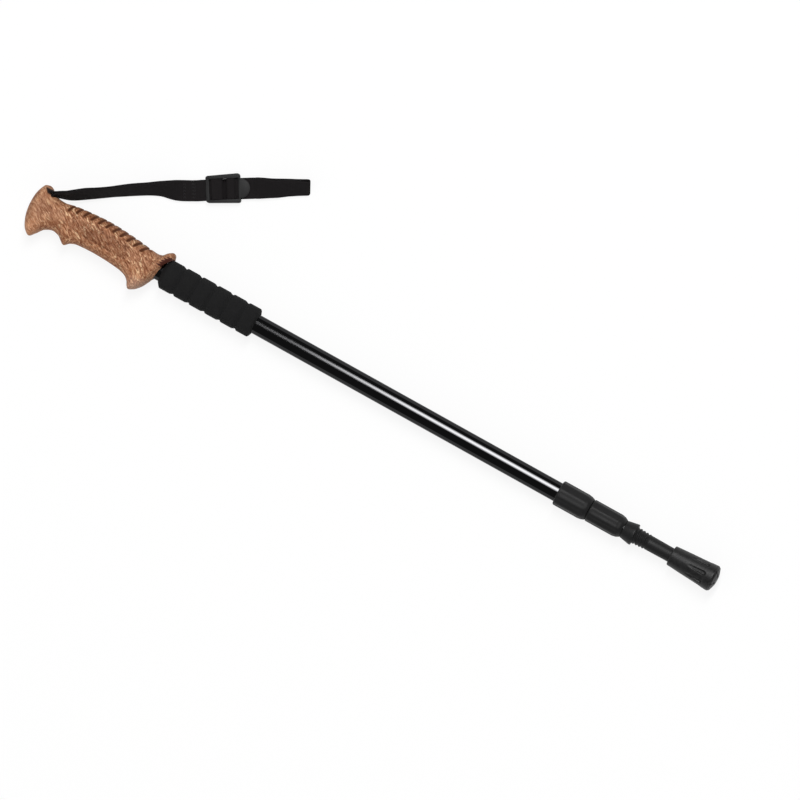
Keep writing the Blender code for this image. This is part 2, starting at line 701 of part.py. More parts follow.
def twist_lock(name, tube_top, tube_radius, outer_bore, finishes, bodies):
    """The plug, stud, stop nut, expander and cone nut on top of one tube, for the bore that it slides in."""
    section, sleeve_body, cone_body = bodies
    plug_base = tube_top - LOCK_PLUG_LENGTH
    stud_base = tube_top + PLUG_TOP_ABOVE_TUBE - LOCK_STUD_IN_PLUG
    shoulder = LOCK_STUD_IN_PLUG + GAP
    expander_base = tube_top + EXPANDER_ABOVE_TUBE
    nut_base = tube_top + NUT_ABOVE_TUBE
    stud_length = tube_top + LOCK_HEIGHT - stud_base
    sleeve_radius = outer_bore - GAP
    bore = tube_radius - TUBE_WALL
    piece(f"{name}_end_plug", end_plug(bore, tube_radius - 0.1 * MM), (plug_base, 0, 0),
          finishes["plastic"], section)
    piece(f"{name}_stud", lock_stud(stud_length, shoulder), (stud_base, 0, 0), finishes["steel"], section)
    piece(f"{name}_stop_nut", stop_nut(), (nut_base, 0, 0), finishes["steel"], section)
    expander(f"{name}_expander", sleeve_radius, (expander_base, 0, 0), finishes["nylon"], sleeve_body)
    cone_nut(f"{name}_cone_nut", sleeve_radius, (expander_base, 0, 0), finishes["brass"], cone_body)


# Foam sleeve and top plug

def foam_sleeve():
    bore = UPPER_TUBE_RADIUS + GAP
    pitch = FOAM_LENGTH / FOAM_RINGS
    half = FOAM_GROOVE_WIDTH / 2
    profile = [
        (0, bore),
        (0, bore + 0.4 * MM),
        (FOAM_END_CHAMFER * 0.6, FOAM_RADIUS - 1.4 * MM),
        (FOAM_END_CHAMFER + 0.6 * MM, FOAM_RADIUS),
    ]
    for i in range(1, FOAM_RINGS):
        middle = i * pitch
        profile += [
            (middle - half, FOAM_RADIUS),
            (middle - half * 0.35, FOAM_RADIUS - FOAM_GROOVE_DEPTH),
            (middle + half * 0.35, FOAM_RADIUS - FOAM_GROOVE_DEPTH),
            (middle + half, FOAM_RADIUS),
        ]
    profile += [
        (FOAM_LENGTH - FOAM_TOP_CHAMFER, FOAM_RADIUS),
        (FOAM_LENGTH - FOAM_TOP_CHAMFER * 0.7, FOAM_RADIUS - 1.1 * MM),
        (FOAM_LENGTH, bore + 0.4 * MM),
        (FOAM_LENGTH, bore),
    ]
    return turned(profile, 24)


def top_plug():
    spigot = UPPER_TUBE_BORE - GAP
    return turned([
        (0, 0),
        (0, spigot - 1 * MM),
        (1 * MM, spigot),
        (TOP_PLUG_LENGTH + GAP, spigot),
        (TOP_PLUG_LENGTH + GAP, UPPER_TUBE_RADIUS),
        (TOP_PLUG_LENGTH + GAP + TOP_PLUG_FLANGE, UPPER_TUBE_RADIUS),
        (TOP_PLUG_LENGTH + GAP + TOP_PLUG_FLANGE, 0),
    ], 24)


# Grip

def grip_sections():
    """The grip's section by the place of its back above its lower end."""
    rows = [tuple(value * MM for value in row) for row in GRIP_LOWER_SECTIONS]
    for back_x, back_y, front_x, front_y, half in GRIP_UPPER_SECTIONS:
        back_x, front_x = GRIP_LENGTH - back_x * MM, GRIP_LENGTH - front_x * MM
        rows.append((back_x, back_y * MM, front_x, front_y * MM, half * MM))
    return smooth_table(rows), [row[0] for row in rows]


def grip_stations(section, knots):
    """Where the rings lie: three to each groove, and closer where the grip's reach changes quickly."""
    stations = []
    for i in range(GRIP_GROOVES):
        middle, half = GRIP_GROOVE_START + i * GRIP_GROOVE_PITCH, GRIP_GROOVE_HALF_WIDTH
        stations += [(middle - half, 0.0), (middle, 1.0), (middle + half, 0.0)]
    low, high = stations[0][0], stations[-1][0]
    stations += [(x, 0.0) for x in knots if x < low - 1 * MM or x > high + 1 * MM]
    stations.sort()
    spaced = [stations[0]]
    for before, after in zip(stations, stations[1:]):
        span = after[0] - before[0]
        change = max(abs(a - b) for a, b in zip(section(before[0]), section(after[0])))
        count = min(math.ceil(change / GRIP_RING_CHANGE), math.ceil(span / GRIP_RING_SPACING))
        for i in range(1, count):
            spaced.append((before[0] + span * i / count, 0.0))
        spaced.append(after)
    return spaced


def grip_ring(section, station, groove):
    """One ring of the grip. Its sides run ahead of its back where the grooves are, as a chevron."""
    back_y, front_x, front_y, half = section(station)
    grooves_end = GRIP_GROOVE_START + GRIP_GROOVES * GRIP_GROOVE_PITCH
    chevron = GRIP_GROOVE_SLANT * ease(station, GRIP_GROOVE_START / 2, GRIP_GROOVE_START)
    chevron *= 1 - ease(station, grooves_end, grooves_end + 20 * MM)
    saddle = GRIP_RIM_SADDLE * (1 - ease(station, 0, 12 * MM))
    ring = []
    for i in range(GRIP_SIDES):
        angle = TURN * i / GRIP_SIDES
        forward = math.copysign(abs(math.cos(angle)) ** (2 / GRIP_FULLNESS), math.cos(angle))
        sideways = math.copysign(abs(math.sin(angle)) ** (2 / GRIP_FULLNESS), math.sin(angle))
        inset = 1 - groove * GRIP_GROOVE_DEPTH / back_y * ease(-math.cos(angle), 0.35, 0.6)
        x = (station + front_x) / 2 + (front_x - station) / 2 * forward
        x += saddle * math.sin(angle) ** 2
        x += chevron * abs(sideways) * half * ease(-math.cos(angle), -0.3, 0.3)
        y = ((front_y - back_y) / 2 + (front_y + back_y) / 2 * forward) * inset
        ring.append((x, y, half * sideways * inset))
    return ring


def grip_rim(section):
    """Two rings that turn the grip's lower end inwards, round the foam's chamfer and to the tube."""
    back_y, front_x, front_y, half = section(0)
    outer, inner = [], []
    bore = UPPER_TUBE_RADIUS + GAP
    for i in range(GRIP_SIDES):
        angle = TURN * i / GRIP_SIDES
        forward, sideways = math.cos(angle), math.sin(angle)
        tilt = front_x / 2 * (1 + forward) + GRIP_RIM_SADDLE * sideways ** 2
        lip_y = FOAM_RADIUS + 0.5 * MM
        outer.append((tilt + (1 - forward) * 1.0 * MM,
                      (front_y - 0.8 * MM) * forward if forward > 0 else (lip_y - 0.2 * MM) * forward,
                      (half - 0.6 * MM) * sideways))
        inner.append((GRIP_OVER_FOAM + 0.9 * MM + (1 + forward) * 2.2 * MM,
                      (bore + GRIP_RIM_WALL) * forward,
                      (bore + GRIP_RIM_WALL) * sideways))
    return [inner, outer]


def grip(finish):
    section, knots = grip_sections()
    rings = grip_rim(section)
    rings += [grip_ring(section, station, groove) for station, groove in grip_stations(section, knots)]
    handle = piece("grip", lofted(rings), (X_GRIP, 0, 0), finish, sharp=50)
    bore = UPPER_TUBE_RADIUS + GAP
    bore_top = X_UPPER_TUBE_TOP + GAP + TOP_PLUG_FLANGE + GAP
    start = X_GRIP - GRIP_OVER_FOAM
    hollow = turned([(0, 0), (0, bore), (bore_top - start, bore), (bore_top - start, 0)], 36)
    combine(handle, cutter("tube_bore", hollow, (start, 0, 0)), "DIFFERENCE")
    return handle


def strap_slot(handle, frame):
    """The slot in the head: a chamber about the pin, a channel that flares at the back, and the pin's holes."""
    chamber = PIN_RADIUS + GAP + WEB_THICKNESS + 0.5 * MM
    open_angle = math.degrees(math.asin(SLOT_HALF_HEIGHT / chamber))
    outline = arc((-PIN_TO_FOLD, 0), chamber, open_angle, 360 - open_angle, 16)
    flare = SLOT_HALF_HEIGHT + SLOT_FLARE
    outline += [(SLOT_LENGTH - PIN_TO_FOLD, -SLOT_HALF_HEIGHT), (SLOT_LENGTH - PIN_TO_FOLD, flare),
                (-SLOT_FLARE_DEPTH, flare), (-SLOT_FLARE_START, SLOT_HALF_HEIGHT)]
    slot = prism(outline, -SLOT_HALF_WIDTH, SLOT_HALF_WIDTH)
    combine(handle, cutter("strap_slot", slot, carrier=frame), "DIFFERENCE")
    hole = arc((-PIN_TO_FOLD, 0), PIN_RADIUS + GAP, 0, 345, 23)
    reach = SLOT_HALF_WIDTH + PIN_IN_WALL + GAP
    combine(handle, cutter("pin_hole", prism(hole, -reach, reach), carrier=frame), "DIFFERENCE")


# Wrist strap

STRAP_AT = smooth_table([(s * MM, t * MM, math.radians(roll)) for s, t, roll in STRAP_LINE])


def strap_frame(s):
    """A point of the strap's middle line, with its width's direction and its normal there."""
    if s < 0:
        return Vector((s, 0, 0)), Vector((0, 0, 1)), Vector((0, -1, 0))
    t, roll = STRAP_AT(s)
    lean = math.atan2(STRAP_AT(s + WEB_STEP / 2)[0] - STRAP_AT(max(s - WEB_STEP / 2, 0))[0], WEB_STEP)
    lean *= ease(s, 0, 2 * WEB_STEP)
    stack = WEB_PITCH / 2 + WEB_THICKNESS / 2
    rest = SURFACE_Z + WEB_WIDTH / 2 * math.sin(roll) + stack * math.cos(roll)
    lift = -(SURFACE_Z + WEB_WIDTH / 2) * (1 - ease(s, 0, STRAP_SETTLE_LENGTH))
    across = Vector((-math.sin(lean), math.cos(lean), 0))
    up = Vector((0, 0, 1))
    width = across * math.cos(roll) + up * math.sin(roll)
    normal = up * math.cos(roll) - across * math.sin(roll)
    return Vector((s, t, rest + lift)), width, normal


def at_steps(path):
    """The path with points added at even places along the strap, which all its layers share."""
    points = [path[0]]
    for start, end in zip(path, path[1:]):
        low, high = sorted((start[0], end[0]))
        steps = range(math.ceil((low + WEB_STEP / 8) / WEB_STEP), math.ceil((high - WEB_STEP / 8) / WEB_STEP))
        for i in sorted(steps, reverse=start[0] > end[0]):
            share = (i * WEB_STEP - start[0]) / (end[0] - start[0])
            points.append((i * WEB_STEP, start[1] + (end[1] - start[1]) * share))
        points.append(end)
    return points


def webbing(path):
    """Rings round a strip of webbing along a path of (along, height) points over the strap's middle line."""
    path = at_steps(path)
    sides = [WEB_WIDTH * (j / WEB_COLUMNS - 0.5) for j in range(WEB_COLUMNS + 1)]
    frames = [strap_frame(s) for s, _ in path]
    middles = [place + normal * height for (place, _, normal), (_, height) in zip(frames, path)]
    rings = []
    for i, middle in enumerate(middles):
        width = frames[i][1]
        along = middles[min(i + 1, len(middles) - 1)] - middles[max(i - 1, 0)]
        face = along.cross(width).normalized() * WEB_THICKNESS / 2
        lower = [middle + width * side - face for side in sides]
        upper = [middle + width * side + face for side in sides]
        rings.append(lower + upper[::-1])
    return rings, [after[0] > before[0] for before, after in zip(path, path[1:])]


def woven(rings, onwards):
    """Webbing from its rings. Its quads all split along the same diagonal, so that layers stay parallel."""
    shape = bmesh.new()
    rows = [[shape.verts.new(point) for point in ring] for ring in rings]
    for low, high, forward in zip(rows, rows[1:], onwards):
        for j in range(len(low)):
            k = (j + 1) % len(low)
            quad = [low[j], low[k], high[k], high[j]]
            if forward == (j > WEB_COLUMNS):
                quad = quad[1:] + quad[:1]
            shape.faces.new(quad)
    shape.faces.new(rows[0])
    shape.faces.new(rows[-1])
    return shape


def trimmed_at_fold(rings, onwards):
    """Slant a strip's first end, so that it turns inside the fold's radius."""
    place, _, normal = strap_frame(0)
    for i, point in enumerate(rings[0]):
        height = (point - place).dot(normal)
        reach = math.sqrt(STRAP_FOLD_RADIUS ** 2 - height ** 2)
        rings[0][i] = Vector((-reach, point.y, point.z))
    return rings, onwards


def level(number):
    """The height of a layer's middle: the lower run is 0, the upper run 1, and so on up."""
    return (number - 0.5) * WEB_PITCH


BARS_LOW = level(1) + WEB_THICKNESS / 2 + GAP
BARS_HIGH = BARS_LOW + BUCKLE_BAR_THICKNESS
OVER_BARS = BARS_HIGH + GAP + WEB_THICKNESS / 2
END_BARS_LOW = level(2) + WEB_THICKNESS / 2 + GAP


def turn_round(bar_start, bar_length):
    """The two upright stretches of webbing that turn over a bar, as places along the strap."""
    return bar_start - WEB_BEND, bar_start + bar_length + WEB_BEND


def strap_sewn_run():
    """From the fold to the buckle, up over its sewn bar, down and back to where it is sewn."""
    rise, fall = turn_round(SEWN_BAR_START, SEWN_BAR_LENGTH)
    step_start = SEWN_END - STEP_LENGTH - 1 * MM
    path = [(0, level(1))]
    path += rounded_path([
        (step_start, level(1)),
        (SEWN_END - 1 * MM, level(2)),
        (rise, level(2)),
        (rise, OVER_BARS),
        (fall, OVER_BARS),
        (fall, level(1)),
        (SEWN_END, level(1)),
    ], WEB_BEND)
    return woven(*trimmed_at_fold(*webbing([tuple(p) for p in path])))


def strap_adjusting_run():
    """From the fold along the surface, round the bight, back through the buckle, and its free tail."""
    fall, rise = turn_round(TURN_BAR_START, TURN_BAR_LENGTH)
    centre = BIGHT_END - BIGHT_RADIUS - WEB_THICKNESS / 2
    opens = centre - BIGHT_OPENS
    path = [(0, level(0))]
    opening = []
    for i in range(4):
        spread = (BIGHT_RADIUS + level(0)) * ease(i, 0, 4)
        opening.append((opens + BIGHT_OPENS * i / 4, level(0) - spread))
    path += opening
    path += arc((centre, 0), BIGHT_RADIUS, -90, 90, 8)
    path += [(s, -height) for s, height in opening[:0:-1]]
    step_start = TAIL_END + STEP_LENGTH
    path += rounded_path([
        (min(step_start, opens), level(1)),
        (TAIL_END + 1 * MM, level(2)),
        (rise, level(2)),
        (rise, OVER_BARS),
        (fall, OVER_BARS),
        (fall, level(1)),
        (TAIL_END - 1 * MM, level(1)),
    ], WEB_BEND)
    return woven(*trimmed_at_fold(*webbing([tuple(p) for p in path])))


def strap_root():
    """The same webbing inside the slot, round the pin and back."""
    radius = PIN_RADIUS + GAP + WEB_THICKNESS / 2
    leg = level(1)
    leg_end = -(STRAP_FOLD_RADIUS + GAP)
    leg_start = leg_end - 3.2 * MM
    away = leg_start + PIN_TO_FOLD
    touch = math.degrees(math.atan2(leg, away) + math.acos(radius / math.hypot(away, leg)))
    path = [(leg_end, leg), (leg_start, leg)]
    path += arc((-PIN_TO_FOLD, 0), radius, touch, 360 - touch, 14)
    path += [(leg_start, -leg), (leg_end, -leg)]
    return woven(*webbing(path))


def buckle(finish, carrier):
    """A ladder-lock: an arched frame, four bars and a half-round thumb tab, in the strap's frame."""
    start, _, _ = strap_frame(BUCKLE_START)
    end, _, _ = strap_frame(BUCKLE_TAB_START)
    lean = math.atan2(end.y - start.y, end.x - start.x)
    inner = WEB_WIDTH / 2 + BUCKLE_RAIL_GAP
    start_low, start_high = (inner + rail for rail in BUCKLE_RAILS_AT_START)
    end_low, end_high = (inner + rail for rail in BUCKLE_RAILS_AT_END)
    length = BUCKLE_TAB_START - BUCKLE_START
    bars_top = END_BARS_LOW + BUCKLE_BAR_THICKNESS
    low = END_BARS_LOW - BUCKLE_RAIL_DROP

    def seated(made):
        made.rotation_euler = (0, 0, lean)
        return made

    corners = [(length, -end_low), (length, end_high), (0, start_high), (0, -start_low)]
    middle = (length, 0)
    plan = rounded_path([middle, *corners[1:], corners[0], middle], BUCKLE_CORNER)[:-1]
    frame = seated(piece("buckle", prism(plan, low, bars_top + BUCKLE_ARCH), start, finish, carrier))

    crown = [(length * i / 8, bars_top + BUCKLE_ARCH * math.sin(math.pi * i / 8)) for i in range(9)]
    side = [(0, low + BUCKLE_FOOT_CHAMFER), (BUCKLE_FOOT_CHAMFER, low), (length - BUCKLE_FOOT_CHAMFER, low),
            (length, low + BUCKLE_FOOT_CHAMFER), *crown[::-1]]
    arch = prism(side, -2 * end_high, 2 * end_high)
    bmesh.ops.transform(arch, matrix=Matrix.Rotation(math.radians(90), 4, "X"), verts=arch.verts)
    combine(frame, seated(cutter("buckle_arch", arch, start, carrier)), "INTERSECT")
    opening = block((-length, -inner, low - length), (2 * length, inner, bars_top + length))
    combine(frame, seated(cutter("buckle_opening", opening, start, carrier)), "DIFFERENCE")

    reach = inner + min(BUCKLE_RAILS_AT_START) / 2
    for bar_start, bar_length, height in (
        (BUCKLE_START + BUCKLE_BAR_SETBACK, BUCKLE_END_BAR, END_BARS_LOW),
        (SEWN_BAR_START, SEWN_BAR_LENGTH, BARS_LOW),
        (TURN_BAR_START, TURN_BAR_LENGTH, BARS_LOW),
        (BUCKLE_TAB_START - BUCKLE_BAR_SETBACK - BUCKLE_TAB_BAR, BUCKLE_TAB_BAR, END_BARS_LOW),
    ):
        x = bar_start - BUCKLE_START
        bar = block((x, -reach, height), (x + bar_length, reach, height + BUCKLE_BAR_THICKNESS))
        combine(frame, seated(cutter(f"buckle_bar_{round(x / MM)}", bar, start, carrier)), "UNION")
    root = length - BUCKLE_BAR_SETBACK - BUCKLE_TAB_BAR / 2
    tab = [(root, -BUCKLE_TAB_HALF_WIDTH)]
    for x, y in arc((0, 0), 1, -90, 90, 12):
        tab.append((length + x * BUCKLE_TAB_LENGTH, y * BUCKLE_TAB_HALF_WIDTH))
    tab.append((root, BUCKLE_TAB_HALF_WIDTH))
    tab = prism(tab, END_BARS_LOW + BUCKLE_TAB_INSET, bars_top - BUCKLE_TAB_INSET)
    combine(frame, seated(cutter("buckle_tab", tab, start, carrier)), "UNION")


def build():
    clear_scene()
    cork = material("marbled_cork", (0.39, 0.21, 0.12), 0.62)
    foam = material("black_foam", (0.018, 0.018, 0.019), 0.9)
    anodised = material("black_anodised", (0.012, 0.012, 0.013), 0.3, 0.7)
    plastic = material("black_plastic", (0.03, 0.03, 0.032), 0.5)
    buckle_plastic = material("grey_plastic", (0.05, 0.05, 0.052), 0.45)
    rubber = material("black_rubber", (0.026, 0.026, 0.027), 0.8)
    cloth = material("black_webbing", (0.016, 0.015, 0.016), 0.85)
    steel = material("zinc_steel", (0.55, 0.55, 0.56), 0.35, 1.0)
    carbide = material("carbide", (0.3, 0.3, 0.31), 0.3, 1.0)
    brass = material("brass", (0.6, 0.43, 0.18), 0.35, 1.0)
    nylon = material("white_nylon", (0.72, 0.71, 0.68), 0.5)
    finishes = {"plastic": plastic, "steel": steel, "nylon": nylon, "brass": brass}

    strap_axis = empty("strap_axis", FOLD_PLACE, STRAP_AZIMUTH)
    slot_frame = empty("slot_frame", FOLD_PLACE, STRAP_AZIMUTH)
    middle = empty("middle_section_axis", (0, 0, 0))
    middle_sleeve = empty("middle_lock_axis", (0, 0, 0))
    middle_cone = empty("middle_cone_axis", (0, 0, 0))
    lower = empty("lower_section_axis", (0, 0, 0))
    lower_sleeve = empty("lower_lock_axis", (0, 0, 0))
    lower_cone = empty("lower_cone_axis", (0, 0, 0))
    foot_axis = empty("foot_axis", (0, 0, 0))

    upper_length = X_UPPER_TUBE_TOP - X_UPPER_TUBE
    piece("upper_tube", tube(UPPER_TUBE_RADIUS, upper_length), (X_UPPER_TUBE, 0, 0), anodised)
    upper = collar(UPPER_COLLAR_LENGTH, UPPER_COLLAR_RADIUS, UPPER_COLLAR_END_RADIUS,
                   UPPER_TUBE_RADIUS + GAP, MIDDLE_TUBE_RADIUS + GAP)
    piece("upper_collar", upper, (X_UPPER_COLLAR, 0, 0), plastic)
    piece("foam_sleeve", foam_sleeve(), (X_FOAM, 0, 0), foam)
    piece("top_plug", top_plug(), (X_UPPER_TUBE_TOP - TOP_PLUG_LENGTH, 0, 0), plastic)
    handle = grip(cork)
    strap_slot(handle, slot_frame)
    pin = arc((-PIN_TO_FOLD, 0), PIN_RADIUS, 0, 345, 23)
    pin_reach = SLOT_HALF_WIDTH + PIN_IN_WALL
    piece("strap_pin", prism(pin, -pin_reach, pin_reach), finish=steel, carrier=slot_frame)
    piece("strap_root", strap_root(), finish=cloth, carrier=slot_frame)

    inner_tube = tube(MIDDLE_TUBE_RADIUS, X_MIDDLE_TUBE_TOP - X_MIDDLE_TUBE)
    piece("middle_tube", inner_tube, (X_MIDDLE_TUBE, 0, 0), anodised, middle)
    middle_collar = collar(MIDDLE_COLLAR_LENGTH, MIDDLE_COLLAR_RADIUS, MIDDLE_COLLAR_END_RADIUS,
                           MIDDLE_TUBE_RADIUS + GAP, LOWER_TUBE_RADIUS + GAP)
    piece("middle_collar", middle_collar, (X_MIDDLE_COLLAR, 0, 0), plastic, middle)
    twist_lock("middle", X_MIDDLE_TUBE_TOP, MIDDLE_TUBE_RADIUS, UPPER_TUBE_BORE, finishes,
               (middle, middle_sleeve, middle_cone))

    innermost_tube = tube(LOWER_TUBE_RADIUS, X_LOWER_TUBE_TOP - X_LOWER_TUBE)
    piece("lower_tube", innermost_tube, (X_LOWER_TUBE, 0, 0), anodised, lower)
    piece("tip_ferrule", tip_ferrule(), finish=plastic, carrier=lower)
    piece("hard_tip", hard_tip(), (FERRULE_END - HARD_TIP_STANDS_OUT, 0, 0), carbide, lower)
    twist_lock("lower", X_LOWER_TUBE_TOP, LOWER_TUBE_RADIUS, MIDDLE_TUBE_BORE, finishes,
               (lower, lower_sleeve, lower_cone))

    rubber_foot(rubber, foot_axis)
    piece("foot_washer", foot_washer(), (FOOT_WALL_BELOW_TIP + GAP, 0, 0), steel, foot_axis)

    piece("strap_sewn_run", strap_sewn_run(), finish=cloth, carrier=strap_axis)
    piece("strap_adjusting_run", strap_adjusting_run(), finish=cloth, carrier=strap_axis)
    buckle(buckle_plastic, strap_axis)


build()
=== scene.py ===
"""The looks of the walking stick: its finishes, grip, foam, webbing, buckle and mouldings.

Lengths are in metres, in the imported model's frame. +X runs up the stick from the sole of the rubber foot,
+Y is the finger side of the grip, and +Z points up from the surface on which the stick lies.
"""

import json
from bisect import bisect_right
from itertools import accumulate
from math import acos, asin, atan2, ceil, copysign, cos, degrees, hypot, pi, radians, sin, tan

import bmesh
import bpy
from mathutils import Matrix, Vector


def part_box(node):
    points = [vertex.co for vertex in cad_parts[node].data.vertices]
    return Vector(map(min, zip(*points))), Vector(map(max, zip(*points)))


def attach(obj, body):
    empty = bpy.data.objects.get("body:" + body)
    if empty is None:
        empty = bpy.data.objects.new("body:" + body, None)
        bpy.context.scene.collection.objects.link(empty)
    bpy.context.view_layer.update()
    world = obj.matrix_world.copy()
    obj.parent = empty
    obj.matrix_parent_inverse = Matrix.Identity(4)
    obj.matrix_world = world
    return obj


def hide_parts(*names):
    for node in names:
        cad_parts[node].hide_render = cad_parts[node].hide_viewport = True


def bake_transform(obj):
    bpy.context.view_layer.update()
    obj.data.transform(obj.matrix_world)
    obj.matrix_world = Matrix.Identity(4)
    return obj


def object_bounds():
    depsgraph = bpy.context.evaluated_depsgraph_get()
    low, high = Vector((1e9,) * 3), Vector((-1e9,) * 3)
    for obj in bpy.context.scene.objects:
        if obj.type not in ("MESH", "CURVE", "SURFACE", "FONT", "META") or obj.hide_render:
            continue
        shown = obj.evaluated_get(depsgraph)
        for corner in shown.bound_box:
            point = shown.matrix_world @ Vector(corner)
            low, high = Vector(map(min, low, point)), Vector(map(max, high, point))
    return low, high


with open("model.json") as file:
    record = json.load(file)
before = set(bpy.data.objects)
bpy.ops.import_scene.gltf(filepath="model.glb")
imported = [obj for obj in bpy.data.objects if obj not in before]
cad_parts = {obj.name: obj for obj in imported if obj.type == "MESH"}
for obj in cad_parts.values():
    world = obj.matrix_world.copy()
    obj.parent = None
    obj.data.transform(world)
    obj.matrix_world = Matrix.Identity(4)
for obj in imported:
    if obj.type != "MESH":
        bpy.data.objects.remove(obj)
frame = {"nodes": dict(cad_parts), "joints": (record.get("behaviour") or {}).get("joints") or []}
cad_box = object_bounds()

MM = 0.001
TURN = 2 * pi
GAP = 0.3 * MM
ROUND_SIDES = 96

# The photograph's view: what its width covers, the place at its middle, and how it is turned and leans
PICTURE_WIDTH = 0.71345
PICTURE_MIDDLE = Vector((0.32617, -0.0033, 0))
PICTURE_TURN = radians(209.1)
PICTURE_LEAN = radians(6.5)
LENS = 600
SENSOR = 36

# Studio
FLOOR_HALF_WIDTH = 12
FLOOR_ALBEDO = 0.25
FLOOR_SEEN_ALBEDO = 0.15
FLOOR_GLOW = 0.86
CEILING_LIGHT = 0.16
HORIZON_TOP = sin(radians(1))
CEILING_START = sin(radians(7))
SUN_STRENGTH = 0.85
SUN_ANGLE = radians(100)
SUN_TILT = radians(42)
SOFTBOX_HEIGHT = 8
SOFTBOX_TILT = radians(21.5)
SOFTBOX_LOW_X = 0.1
SOFTBOX_HIGH_X = 1.49
SOFTBOX_WIDTH = 8.6
SOFTBOX_WATTS = 1190

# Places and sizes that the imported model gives
UPPER_TUBE_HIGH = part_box("upper_tube")[1]
LOWER_TUBE_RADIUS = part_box("lower_tube")[1].z
FERRULE_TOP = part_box("tip_ferrule")[1].x
FOAM_LOW, FOAM_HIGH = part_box("foam_sleeve")
GRIP_LOW, GRIP_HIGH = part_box("grip")
UPPER_BORE = UPPER_TUBE_HIGH.z + GAP
MIDDLE_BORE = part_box("middle_tube")[1].z + GAP
LOWER_BORE = LOWER_TUBE_RADIUS + GAP
TUBE_WALL = 0.7 * MM
SURFACE_Z = GRIP_LOW.z
FOLD_PLACE = next(Vector(joint["pos_m"]) for joint in frame["joints"] if joint["name"] == "strap_swing")

# Rubber foot
FOOT_LENGTH = 46.3 * MM
FOOT_MOUTH_RADIUS = 9.35 * MM
FOOT_SOLE_RADIUS = 12.4 * MM
FOOT_FLOOR = 5.5 * MM
SOLE_FLAT_RADIUS = 4.6 * MM
SOLE_DOME = 3.4 * MM
SOLE_EDGE = 1.4 * MM
TREADS = 6
TREAD_HALF_WIDTH = 1 * MM
TREAD_DEPTH = 1.5 * MM
TREAD_EDGE = 0.3 * MM
RECESSES = 8
RECESS_START = 10.8 * MM
RECESS_LENGTH = 18 * MM
RECESS_HALF_WIDTHS = (2 * MM, 1 * MM)
RECESS_DEPTH = 2 * MM
WASHER_RADIUS = 4.3 * MM
WASHER_TOP = 7 * MM

# Tip ferrule
X_THREAD = 69.7 * MM
X_FLANGE = 83.6 * MM
SHANK_TOP_RADIUS = 6.9 * MM
SHANK_TAPER = 0.01
FERRULE_END = 13 * MM
NOSE_LENGTH = 12 * MM
NOSE_RADIUS = 4.2 * MM
FLANGE_RADIUS = 10.05 * MM
FLANGE_EDGE = 1.3 * MM
FLANGE_FILLET = 0.7 * MM
SKIRT_WALL = 0.8 * MM
SKIRT_DEPTH = 8.5 * MM
SKIRT_TOP = 94.8 * MM
THREAD_RADIUS = 7.7 * MM
THREAD_TAPER = 0.055
THREAD_DEPTH = 0.45 * MM
THREAD_PITCH = 3.15 * MM
HARD_TIP_BORE = 2.2 * MM
HARD_TIP_IN_FERRULE = 16.3 * MM

# Collars
COLLAR_TAPER = 6.5 * MM
COLLAR_LIP = 3 * MM
COLLAR_CHAMFER = 0.8 * MM
COLLAR_KNEE = (0.45, 0.68)
FLUTES = 10
FLUTE_DEPTH = 0.45 * MM
UPPER_COLLAR_END = 10.2 * MM
MIDDLE_COLLAR_END = 8.3 * MM

# Foam sleeve
FOAM_RADIUS = 14 * MM
FOAM_RINGS = 6
FOAM_GROOVE_WIDTH = 3.6 * MM
FOAM_GROOVE_DEPTH = 1.2 * MM
FOAM_GROOVE_SHIFT = 1.3 * MM
FOAM_GROOVE_OUTLINE = ((-0.8, 0), (-0.2, 1), (0.2, 1), (1.7, 0))
FOAM_LIP = 0.6 * MM
FOAM_TOP_CHAMFER = 3.4 * MM
FOAM_END_CHAMFER = 2.2 * MM

# Grip: sections up from its lower end, then down from its top, in millimetres, each as the back's place and
# reach, the front's place and reach, and the half thickness between the two sides
GRIP_LOWER_SECTIONS = (
    (0, 14.5, 11.3, 13.3, 13.6), (1.3, 18.3, 15.4, 20.8, 15.4), (3.9, 19.6, 20.8, 26.3, 16.2),
    (7.8, 17.6, 25, 28.3, 16), (12.1, 13.2, 27.3, 26.5, 15), (16.3, 12.2, 29.3, 23, 14.4),
    (24.3, 12.9, 33.7, 19.2, 14.2), (36.3, 14.5, 42.3, 16.9, 14.8), (67.3, 16.5, 68.1, 15.3, 15.4),
)
GRIP_UPPER_SECTIONS = (
    (54.3, 15.6, 55.3, 16.1, 15.2), (46.3, 14.9, 48.8, 18.3, 15), (41.8, 14.4, 44.2, 22.1, 14.8),
    (37.8, 13.8, 40.8, 20.1, 14.5), (33.8, 12.8, 36.3, 16.8, 14.2), (28.3, 11.8, 30.3, 15.5, 14),
    (22.3, 12.1, 22.6, 18.5, 14.4), (16.8, 14.3, 17, 25.4, 15.2), (9, 18.7, 12.2, 29.7, 16.2),
    (4.8, 17.6, 7.3, 26.2, 15.2), (2, 12.4, 3, 18.6, 11.8), (0.5, 7.2, 0.6, 9.6, 7),
    (0, 2.4, 0, 3, 2.5),
)
GRIP_LENGTH = 139.6 * MM
GRIP_OVER_FOAM = 4.4 * MM
GRIP_RINGS = 340
GRIP_SIDES = 112
GRIP_FULLNESS = 2.25
RIM_WALL = 1 * MM
RIM_SADDLE = 3.2 * MM
RIM_RINGS = 6
RIM_TURNS_OUT = 0.8
RIM_SHADE = (1 * MM, 5 * MM, 12 * MM, 17 * MM)
GROOVES = 11
GROOVE_START = 24.3 * MM
GROOVE_PITCH = 7.62 * MM
GROOVE_HALF_WIDTH = 2 * MM
GROOVE_DEPTH = 1.3 * MM
GROOVE_SLANT = 0.36
SLANT_FADE = 20 * MM
SADDLE_FADE = 12 * MM
RIB_SHADE = 0.12
RIB_FADE = 4 * MM
X_GRIP = GRIP_HIGH.x - GRIP_LENGTH
X_BORE_END = UPPER_TUBE_HIGH.x + 2.6 * MM

